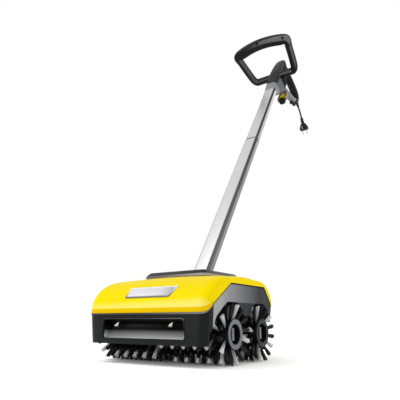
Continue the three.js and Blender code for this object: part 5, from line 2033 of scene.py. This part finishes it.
@dataclass
class Head(Assembly):
    """The scrubbing head: shells, badge, opening, rollers and all that is inside."""

    form: HeadForm = field(default_factory=HeadForm)
    arch_top: float = 122.0
    strip_rear: float = -60.0
    corner_rear: float = -130.5
    skin_depth: float = 2.0
    upright: float = 0.9
    taper: float = 0.035
    pad_round: float = 0.8
    pad_taller: float = 2.4
    pad_wider: float = 3.0
    pad_longer: float = 15.0
    pad_rear_from: float = 96.0
    pad_side: float = 0.35

    def build(self) -> None:
        """Makes and dresses the head."""
        Cover(self.shop, self.form).build()
        Badge(self.shop, self.form).build()
        Mouth(self.shop, self.form).build()
        self.housing()
        self.pad()
        # The deflector takes the ramp finish, painted light at its foot and shade toward its top.
        self.shop.rounded_copy("water_deflector", "head", "dark_inner", RAMP_LIGHT_PP, 0.0, 50)
        for end in End:
            for side in Side:
                Roller(self.shop, end, side).build()
        self.dress()

    def housing(self) -> None:
        """The black housing, drawn in towards its foot, with the finer grain and a painted
        highlight on its side walls.

        It is cut along a level line over the arches and an upright one behind the corner, and
        the width shrinks evenly from the seam down.
        """
        made = self.shop.rounded_copy("lower_housing", "head", "black_shell", BLACK_PP, 0.0)
        shape = bmesh.new()
        shape.from_mesh(made.data)
        line = self.arch_top * MM
        corner = (HEAD_SHIFT + self.corner_rear) * MM
        for point, way in (((0, 0, line), UPWARD), ((0, corner, 0), BACKWARD)):
            bmesh.ops.bisect_plane(
                shape, geom=[*shape.verts, *shape.edges, *shape.faces], plane_co=point, plane_no=way
            )
        outer = (self.form.half_width - self.skin_depth) * MM
        front = (HEAD_SHIFT + self.strip_rear) * MM
        for face in shape.faces:
            middle = face.calc_center_median()
            side_wall = abs(face.normal.x) > self.upright and abs(middle.x) > outer
            # Side wall faces above the arches or in front take the side's painted highlight, the
            # rest the tooth's.
            if side_wall and middle.y > corner:
                face.material_index = 1 if middle.z > line or middle.y < front else 2
        foot, seam = self.form.bottom * MM, self.form.seam * MM
        for vert in shape.verts:
            share = min(max((seam - vert.co.z) / (seam - foot), 0), 1)
            vert.co.x *= 1 - self.taper * share
        shape.to_mesh(made.data)
        shape.free()
        for finish in (SIDE_HIGHLIGHT_PP, TOOTH_PP):
            made.data.materials.append(finish.material())

    def pad(self) -> None:
        """The raised pad: a little taller and longer, with its upright flank painted lighter as
        painted light.

        Heights and widths grow by a factor, and behind a line the depth grows evenly.
        """
        made = self.shop.rounded_copy("top_pad", "head", "pad_shell", CHARCOAL_PP, self.pad_round)
        made.data.materials.append(PAD_SIDE_LIGHT_PP.material())
        low, high = (np.array(corner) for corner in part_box("top_pad"))
        rear = HEAD_SHIFT * MM + self.pad_rear_from * MM
        taller = 1 + self.pad_taller / (high[2] - low[2]) * MM
        for vert in made.data.vertices:
            vert.co.z = low[2] + (vert.co.z - low[2]) * taller
            vert.co.x *= 1 + self.pad_wider * MM / high[0]
            back = max(vert.co.y - rear, 0) / (high[1] - rear)
            vert.co.y += self.pad_longer * MM * back
        # Upright faces take the flank finish, painted pale as painted light.
        for face in made.data.polygons:
            if abs(face.normal.z) < self.pad_side:
                face.material_index = 1

    def dress(self) -> None:
        """Gives the carried-over nodes of the head their finishes."""
        corners = [f"{end.value}_{{}}_{side.value}" for end in End for side in Side]
        looks = {
            # The brush roofs and the left gearbox shell take the near-black finish painted as
            # shade.
            SHADE_BLACK_PP: ("brush_roof_left", "brush_roof_right", "gearbox_shell_left"),
            BLACK_PP: ("gearbox_shell_right",),
            HOSE_RUBBER: ("spray_bar", "feed_hose"),
            GREY_PP: [name.format("lock") for name in corners],
            GEAR_POM: (
                "front_axle_gear",
                "rear_axle_gear",
                "idler_gear_front",
                "idler_gear_rear",
                "reduction_gear",
            ),
            STEEL: (
                "front_axle",
                "rear_axle",
                *[name.format("bearing") for name in corners],
                "motor_pinion",
                "motor",
                "handle_bracket",
                "pivot_pin",
            ),
        }
        for finish, nodes in looks.items():
            for node in nodes:
                self.shop.dress_node(node, finish)


# Handle


@dataclass
class Tubes(Assembly):
    """The two tubes of the telescope, with a dark groove behind both front edges."""

    half_width: float = 22.5
    half_depth: float = 13.5
    corner: float = 7.0
    corner_share: float = 0.8
    wall: float = 1.0
    slip: float = 0.2
    groove_depth: float = 0.7
    groove_at: float = 2.2
    groove_width: float = 3.0
    flank_steps: int = 30
    flank_lean: float = 0.45
    button_round: float = 0.5
    lower: Pair = (-12.0, 562.3)
    upper: Pair = (300.0, 910.0)

    def section(self, inset: float, grooved: bool) -> np.ndarray:
        """Outline of a tube.

        Args:
            inset: how far the outline lies inside the lower tube's.
            grooved: whether the front edges have their groove.

        Returns:
            (across, back) pairs: a rounded rectangle, drawn in by a soft dip on the sides just
            behind the front corners.
        """
        a, b = self.half_width - inset, self.half_depth - inset
        line = rounded_outline(a, b, self.corner - inset * self.corner_share, 12)
        sides = np.linspace(-b + self.corner, b - self.corner, self.flank_steps)[1:-1]
        dip = np.zeros_like(sides)
        if grooved:
            past = (sides + b - self.corner - self.groove_at) / (self.groove_width / 2)
            dip = self.groove_depth * np.exp(-(past**4))
        left = np.stack([-a + dip[::-1], sides[::-1]], -1)
        right = np.stack([a - dip, sides], -1)
        quarter = len(line) // 4
        parts = [line[:quarter], line[quarter : 2 * quarter], left]
        parts += [line[2 * quarter : 3 * quarter], line[3 * quarter :], right]
        return np.vstack(parts)

    def finishes_round(self, outline: np.ndarray) -> np.ndarray:
        """The finish of each strip of the outer skin: face, flank or groove.

        Args:
            outline: the outline's points.

        Returns:
            0 for the broad faces, 1 for the flanks and 2 for the groove and its front edge.
        """
        middle = (outline + np.roll(outline, -1, 0)) / 2
        way = np.roll(outline, -1, 0) - outline
        sideways = np.abs(way[:, 1]) > np.abs(way[:, 0]) * self.flank_lean
        from_front = middle[:, 1] + self.half_depth
        groove = sideways & (from_front < self.corner + self.groove_at + self.groove_width / 2)
        return np.where(groove, 2, np.where(sideways, 1, 0))

    def tube(self, inset: float, ends: Pair) -> Skin:
        """A tube with a wall: the outer skin, the bore and two flat rims.

        Args:
            inset: how far it lies inside the lower tube's outline.
            ends: where it starts and ends along the handle.

        Returns:
            The closed skin.
        """
        outer = self.section(inset, True)
        bore = self.section(inset + self.wall, False)
        walls = [(outer, ends[0]), (outer, ends[1]), (bore, ends[1]), (bore, ends[0])]
        rings = np.stack([handle_place(line[:, 0], line[:, 1], at) for line, at in walls])
        skin = grid_skin(rings, wrap_u=True, wrap_v=True)
        rows = skin.faces[0][0]
        slots = np.zeros(len(rows), int)
        slots[: len(outer)] = self.finishes_round(outer)
        return Skin(skin.points, [(rows[slots == slot], slot) for slot in (0, 1, 2)])

    def build(self) -> None:
        """Makes both tubes and dresses the pieces on them."""
        finishes = [TUBE_FACE, TUBE_FLANK, TUBE_GROOVE]
        for name, inset, ends in (
            ("lower", 0.0, self.lower), ("upper", self.wall + self.slip, self.upper)
        ):
            self.shop.piece(
                f"tube_{name}",
                self.tube(inset, ends),
                f"handle_{name}",
                "tube_aluminium",
                finishes,
                [f"{name}_tube"],
                50,
            )
        self.shop.dress_node("telescope_bush", BUSH_POM)
        self.shop.dress_node("handle_foot", CHARCOAL_PP)
        self.shop.rounded_copy(
            "height_button", "height_lock", "soft_black", SOFT_RUBBER, self.button_round
        )


@dataclass
class BowGrip(Assembly):
    """The closed bow grip, in two halves with a seam and two sunk screws."""

    base_at: float = 1000.0
    before_tube: float = 8.0
    lean: float = math.radians(96)
    base_half: float = 87.0
    top_half: float = 108.0
    reach: float = 138.0
    rise: float = 20.0
    corner: float = 20.0
    bar: float = 13.5
    grip: float = 16.0
    palm: float = 20.5
    sides: int = 40
    squareness: float = 0.85
    seam_depth: float = 0.05
    seam_width: float = 0.09
    highlight_way: Triple = (0.55, 0.5, -0.67)
    highlight_from: float = 0.75
    highlight_blend: float = 0.1
    highlight_middle: float = 0.8
    highlight_right: float = 0.25
    highlight_least: float = 0.6
    well_x: Pair = (-3.0, 97.0)
    well_turn: float = math.radians(45)
    well_sunk: float = 0.2
    well_profile: tuple[Pair, ...] = (
        (0.0, 0.2), (2.4, 0.2), (2.9, -0.4), (4.6, -0.6), (5.0, 0.4), (0.0, 1.8)
    )

    def line(self) -> np.ndarray:
        """Half the path and its thickness, mirrored into a closed loop.

        Returns:
            An array (point, 4) of x, reach, half thickness in the plane and half thickness.
        """
        slope = (self.top_half - self.base_half) / self.reach
        between = (self.bar + self.grip) / 2
        inward = self.palm - self.grip
        far = self.reach - inward
        right = [
            (self.base_half - self.corner, 0.0, self.bar, self.bar),
            (self.base_half - 6.0, 2.4, self.bar, self.bar),
            (self.base_half + slope * self.corner, self.corner, self.bar, self.bar),
            (self.base_half + slope * self.reach / 2, self.reach / 2, self.bar, self.bar),
            (self.top_half - slope * 2 * self.corner, self.reach - 32, self.bar, self.bar),
            (self.top_half - slope * self.corner, self.reach - 12, between, between),
            (self.top_half - 8.0, far + 3.6, self.grip + 2.0, self.grip),
        ]
        right += [
            (self.top_half * share, far + self.rise * (1 - share**2), self.palm, self.grip)
            for share in (0.72, 0.5, 0.25)
        ]
        half = np.array(right)
        left = half[::-1] * (-1, 1, 1, 1)
        crown = np.array([[0.0, far + self.rise, self.palm, self.grip]])
        base = np.array([[0.0, 0.0, self.bar, self.bar]])
        return smooth_line(np.vstack([base, half, crown, left]), 8, closed=True)

    def place(self, x: np.ndarray, reach: np.ndarray, lift: np.ndarray) -> np.ndarray:
        """Places points of the bow.

        Args:
            x: across the machine.
            reach: forward in the bow's plane.
            lift: square to that plane.

        Returns:
            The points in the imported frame: reach and lift are turned by the bow's lean.
        """
        n = -self.before_tube - math.sin(self.lean) * reach + math.cos(self.lean) * lift
        s = self.base_at + math.cos(self.lean) * reach + math.sin(self.lean) * lift
        return handle_place(x, n, s)

    def build(self) -> None:
        """Makes the bow and its screws.

        The section is a squared oval with a narrow dip at the seam. A painted highlight lies where
        its outside faces one fixed way, and grows toward the right.
        """
        line = self.line()
        flat = np.stack([line[:, 0], line[:, 1], np.zeros(len(line))], -1)
        angle = turn_steps(self.sides)
        seam = 1 - self.seam_depth * np.exp(-((np.sin(angle) / self.seam_width) ** 2))
        circle = np.stack([np.cos(angle), np.sin(angle)], -1)
        unit = np.sign(circle) * np.abs(circle) ** self.squareness * seam[:, None]
        rings = swept(flat, UPWARD, line[:, None, 2:] * unit, closed=True)
        placed = self.place(rings[..., 0], rings[..., 1], rings[..., 2])
        out = rings - flat[:, None]
        out /= np.linalg.norm(out, axis=-1, keepdims=True)
        # The along values paint the highlight into the grip rubber's tip colour.
        facing = out @ np.array(self.highlight_way)
        highlight_share = np.clip((facing - self.highlight_from) / self.highlight_blend, 0, 1)
        right = self.highlight_middle + self.highlight_right * flat[:, 0] / self.base_half
        right = np.clip(right, self.highlight_least, 1)
        self.shop.piece(
            "bow_grip",
            lofted(placed, closed=True),
            "handle_upper",
            "grip_black",
            [GRIP_RUBBER],
            ["bow_shell_under", "bow_shell_over"],
            60,
            values={"along": (highlight_share * right[:, None]).ravel(), "strand": np.full(highlight_share.size, 0.5)},
        )
        self.screws()

    def screws(self) -> None:
        """Two screw wells on the front of the grip, each with its screw, painted near black as
        painted shade in the recess.
        """
        cos, sin = math.cos(self.well_turn), math.sin(self.well_turn)
        for name, x in zip(("middle", "side"), self.well_x):
            reach = self.reach - self.palm + self.grip
            reach += self.rise * (1 - (x / self.top_half) ** 2)
            shape = lathe(self.well_profile, 24)
            deep = self.palm - self.well_sunk - shape[..., 2]
            ahead = deep * sin + shape[..., 1] * cos
            lift = -deep * cos + shape[..., 1] * sin
            self.shop.piece(
                f"bow_well_{name}",
                lofted(self.place(x + shape[..., 0], reach + ahead, lift)),
                "handle_upper",
                "steel",
                [SHADE_BLACK_PP],
                [f"bow_screw_{name}"],
            )


@dataclass
class ControlHousing(Assembly):
    """The hood round the tube's top, the closed rear grip and the strut below it.

    A row of the hood holds a share of its height and factors on its half width, front and back.
    A row of the loop holds shares of the grip's reach and height, and the section's two radii.
    """

    body: str = "handle_upper"
    collar: float = 893.0
    top: float = 1159.0
    half_x: float = 28.0
    front: float = 26.0
    back: float = 60.0
    grip_reach: float = 178.0
    grip_at: float = 1136.0
    grip_height: float = 128.0
    squareness: float = 0.62
    shield_from: float = 0.13
    collar_lap: float = 0.02
    collar_draw: float = 0.96
    collar_arch: float = 12.0
    flank_from: float = -9.0
    flank_lean: float = 4.0
    flank_foot: float = 0.34
    button_round: float = 0.8
    trigger_round: float = 1.0
    inlet_n: float = 88.0
    inlet_at: float = 1004.0
    boss: tuple[Pair, ...] = ((0, 0), (11, 0), (12, 1), (12, 40), (0, 40))
    knob: tuple[Pair, ...] = (
        (7.3, -1), (12.5, -1), (13.9, -2.5), (13.9, -25.5), (12.5, -27), (7.3, -27)
    )
    knob_lobes: int = 8
    lobe_depth: float = 0.06
    arm_front: float = 4.0
    arm_along: Triple = (-28.0, 0.0, 37.0)
    arm_out: Triple = (7.0, 16.2, 17.4)
    arm_section: Triple = (2.0, 7.5, 1.6)
    trigger_slot: tuple[Pair, ...] = ((-7.2, 7.2), (98.8, 151.2), (1090.0, 1137.2))
    button_slot: tuple[Pair, ...] = ((-5.3, 5.3), (56.7, 75.3), (1140.1, 1175.0))
    hood: tuple[Four, ...] = (
        (0.0, 0.84, 0.72, 0.3),
        (0.08, 0.88, 0.8, 0.5),
        (0.2, 0.92, 0.9, 0.78),
        (0.43, 1.0, 1.0, 1.0),
        (0.635, 0.893, 0.909, 0.833),
        (0.825, 0.714, 0.682, 0.583),
        (0.958, 0.464, 0.227, 0.367),
        (1.0, 0.214, -0.09, 0.233),
    )
    grip_rows: tuple[int, int] = (0, 9)
    strut_rows: tuple[int, int] = (8, 13)
    loop: tuple[Four, ...] = (
        (0.056, 0.912, 17.4, 16.0),
        (0.225, 0.976, 17.4, 16.0),
        (0.393, 0.984, 17.4, 16.0),
        (0.584, 1.0, 17.4, 16.0),
        (0.775, 1.0, 17.4, 16.0),
        (0.921, 0.952, 17.4, 16.0),
        (1.0, 0.832, 13.6, 15.2),
        (0.972, 0.672, 13.6, 15.2),
        (0.9, 0.59, 12.0, 14.4),
        (0.843, 0.52, 11.2, 14.0),
        (0.629, 0.344, 11.2, 14.0),
        (0.416, 0.176, 11.2, 14.0),
        (0.169, 0.0, 11.2, 14.0),
    )

    def ovals(self, first: float, last: float, draw: float, arch: float) -> Skin:
        """Part of the hood: squared ovals, whose sizes run smoothly through the shares.

        Args:
            first: the share of the hood's height where the part starts.
            last: where it ends.
            draw: a factor on its width and depth.
            arch: how far the front of the lower edge is cut back, in millimetres.

        Returns:
            A closed skin.
        """
        fine = smooth_line(np.array(self.hood), 8)
        at = np.linspace(first, last, 40)
        half_x, front, back = (np.interp(at, fine[:, 0], fine[:, k]) for k in (1, 2, 3))
        angle = turn_steps(56)
        a, b = (np.sign(f) * np.abs(f) ** self.squareness for f in (np.cos(angle), np.sin(angle)))
        fore, aft = -self.front * front * draw, self.back * back * draw
        n = ((fore + aft) / 2)[:, None] + ((aft - fore) / 2)[:, None] * b
        share = (at - first) / (last - first)
        cut = arch * (np.clip(-b, 0, 1) * (1 - np.abs(a) ** 3))[None, :] * (1 - share[:, None])
        s = self.collar + (self.top - self.collar) * at[:, None] + cut
        return lofted(handle_place(self.half_x * draw * half_x[:, None] * a, n, s))

    def shield(self) -> Skin:
        """The dark front shield above the bow's base bar, with each flank painted darker as painted
        shade.

        Returns:
            A closed skin whose flank has the second finish, and the third at its foot.
        """
        skin = self.ovals(self.shield_from, 1.0, 1.0, 0.0)
        rows = skin.faces[0][0]
        middle = skin.points[rows].mean(1)
        back = middle[:, 1] - HEAD_SHIFT - TUBE_FOOT[0]
        up = middle[:, 2] - TUBE_FOOT[1]
        s_part = up * math.cos(TILT) + back * math.sin(TILT)
        n_part = back * math.cos(TILT) - up * math.sin(TILT)
        level = (s_part - self.collar) / (self.top - self.collar)
        flank = n_part > self.flank_from + self.flank_lean * (level - self.shield_from)
        low = flank & (level < self.flank_foot)
        parts = [(rows[~flank], 0), (rows[flank & ~low], 1), (rows[low], 2)]
        skin.faces = [parts[0], *skin.faces[1:], *parts[1:]]
        return skin

    def loop_skin(self, first: int, last: int) -> Skin:
        """Part of the rear grip and its strut: an oval carried along a smooth line.

        Args:
            first: the first row of the loop's table.
            last: the row after the last.

        Returns:
            A closed skin.
        """
        table = smooth_line(np.array(self.loop[first:last]), 8)
        n = self.grip_reach * table[:, 0]
        s = self.grip_at + self.grip_height * (table[:, 1] - 1)
        flat = np.stack([n, s, np.zeros(len(n))], -1)
        angle = turn_steps(36)
        unit = np.stack([np.cos(angle), np.sin(angle)], -1)
        section = unit * np.stack([table[:, 2], table[:, 3]], -1)[:, None, :]
        rings = swept(flat, UPWARD, section)
        return lofted(handle_place(rings[..., 2], rings[..., 0], rings[..., 1]))

    def build(self) -> None:
        """Makes the housing, the trigger, the buttons, the tap and the hook."""
        shop, body = self.shop, self.body
        shield_finishes = [SHIELD_ABS, SHIELD_SIDE_ABS, LOW_FLANK_ABS]
        shop.piece("hood_shield", self.shield(), body, "handle_grey", shield_finishes, (), 40)
        top = self.shield_from + self.collar_lap
        shop.piece(
            "hood_collar",
            self.ovals(0.0, top, self.collar_draw, self.collar_arch)
            + lofted(self.inlet_rings(self.boss, 36))
            + self.loop_skin(*self.strut_rows),
            body,
            "handle_grey",
            [COLLAR_ABS],
            ["control_shell_left", "control_shell_right"],
            40,
        )
        slots = [block(*ends) for ends in (self.trigger_slot, self.button_slot)]
        mesh = shop.carved("rear_grip", self.loop_skin(*self.grip_rows), slots)
        shop.piece("rear_grip", mesh, body, "handle_grey", [GRIP_RUBBER], (), 40)
        shop.rounded_copy(
            "trigger", "switch_trigger", "soft_black", SOFT_RUBBER, self.trigger_round
        )
        shop.rounded_copy("lock_off_button", "lock_off", "grey_trim", GREY_PP, self.button_round)
        shop.rounded_copy("cord_hook", body, "soft_black", SOFT_RUBBER, self.button_round)
        # The power switch takes the near-black finish painted as shade.
        for node, finish in (
            ("trigger_pin", STEEL),
            ("power_switch", SHADE_BLACK_PP),
            ("plug_pin_left", PIN_METAL),
            ("plug_pin_right", PIN_METAL),
        ):
            shop.dress_node(node, finish)
        self.tap()
        for side in Side:
            self.arm(side)

    def tap(self) -> None:
        """The fluted yellow tap and the black hose connector below it.

        Both are profiles of radius and place along the handle, turned about the inlet's axis.
        The tap's radius dips by a squared wave at each flute.
        """
        sides = 64
        wave = 0.5 - 0.5 * np.cos(turn_steps(sides) * self.knob_lobes)
        rings = self.inlet_rings(self.knob, sides, 1 - self.lobe_depth * wave**2)
        self.shop.piece(
            "tap_knob",
            grid_skin(rings, wrap_u=True, wrap_v=True),
            "water_tap",
            "yellow_shell",
            [YELLOW_ABS],
            ["flow_knob"],
            50,
        )
        connector = [(0, 9.9), (7, 9.9), (7, -34.0), (12.5, -34.0), (14.2, -35.4), (14.4, -43.0)]
        connector += [(13.4, -44.6), (11.6, -46.7), (11.6, -47.9), (11.0, -48.9), (8, -48.9)]
        connector += [(8, -55.8), (7.4, -56.8), (4, -56.8), (4, -38.0), (0, -38.0)]
        self.shop.piece(
            "hose_coupling",
            lofted(self.inlet_rings(connector, 40)),
            self.body,
            "soft_black",
            [SOFT_RUBBER],
            ["hose_connector"],
        )

    def arm(self, side: Side) -> None:
        """One of the two grey arms that hold the hose coupling beside the tap.

        Args:
            side: where it is.
        """
        start, _, end = self.arm_along
        below = np.linspace(start, end, 12)
        x = side.sign * np.interp(below, self.arm_along, self.arm_out)
        line = handle_place(x, self.inlet_n - self.arm_front, self.inlet_at - below)
        section = rounded_outline(*self.arm_section, 4)
        self.shop.piece(
            f"tap_arm_{side.value}",
            lofted(swept(line, OUT_OF_TUBE, section)),
            self.body,
            "handle_grey",
            [COLLAR_ABS],
            (),
            40,
        )

    def inlet_rings(
        self, profile: Sequence[Pair], sides: int, ribs: np.ndarray | None = None
    ) -> np.ndarray:
        """Turns a profile about the water inlet's axis.

        Args:
            profile: (radius, place along the handle) pairs, from the inlet's mouth.
            sides: how many steps the turn has.
            ribs: a factor on the radius at each step.

        Returns:
            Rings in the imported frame.
        """
        shape = lathe(profile, sides, ribs)
        at = self.inlet_at + shape[..., 2]
        return handle_place(shape[..., 0], self.inlet_n + shape[..., 1], at)


def block(x: Pair, n: Pair, s: Pair) -> Skin:
    """A plain block in the handle's frame, to cut with.

    Args:
        x: its two ends across.
        n: its two ends front to back.
        s: its two ends along the tube.

    Returns:
        A closed skin.
    """
    corners = np.array([[x[0], n[0]], [x[1], n[0]], [x[1], n[1]], [x[0], n[1]]])
    rings = np.stack([handle_place(corners[:, 0], corners[:, 1], at) for at in s])
    return lofted(rings)


# Main


def main() -> None:
    """Builds the studio and the machine, piece by piece."""
    logging.basicConfig(level=logging.INFO, format="%(message)s")
    shop = Workshop()
    Studio().build()
    for assembly in (MainsLead, Head, Tubes, BowGrip, ControlHousing):
        assembly(shop).build()
    LOG.info("%d new pieces", len(shop.made))


if __name__ == "__main__":
    main()
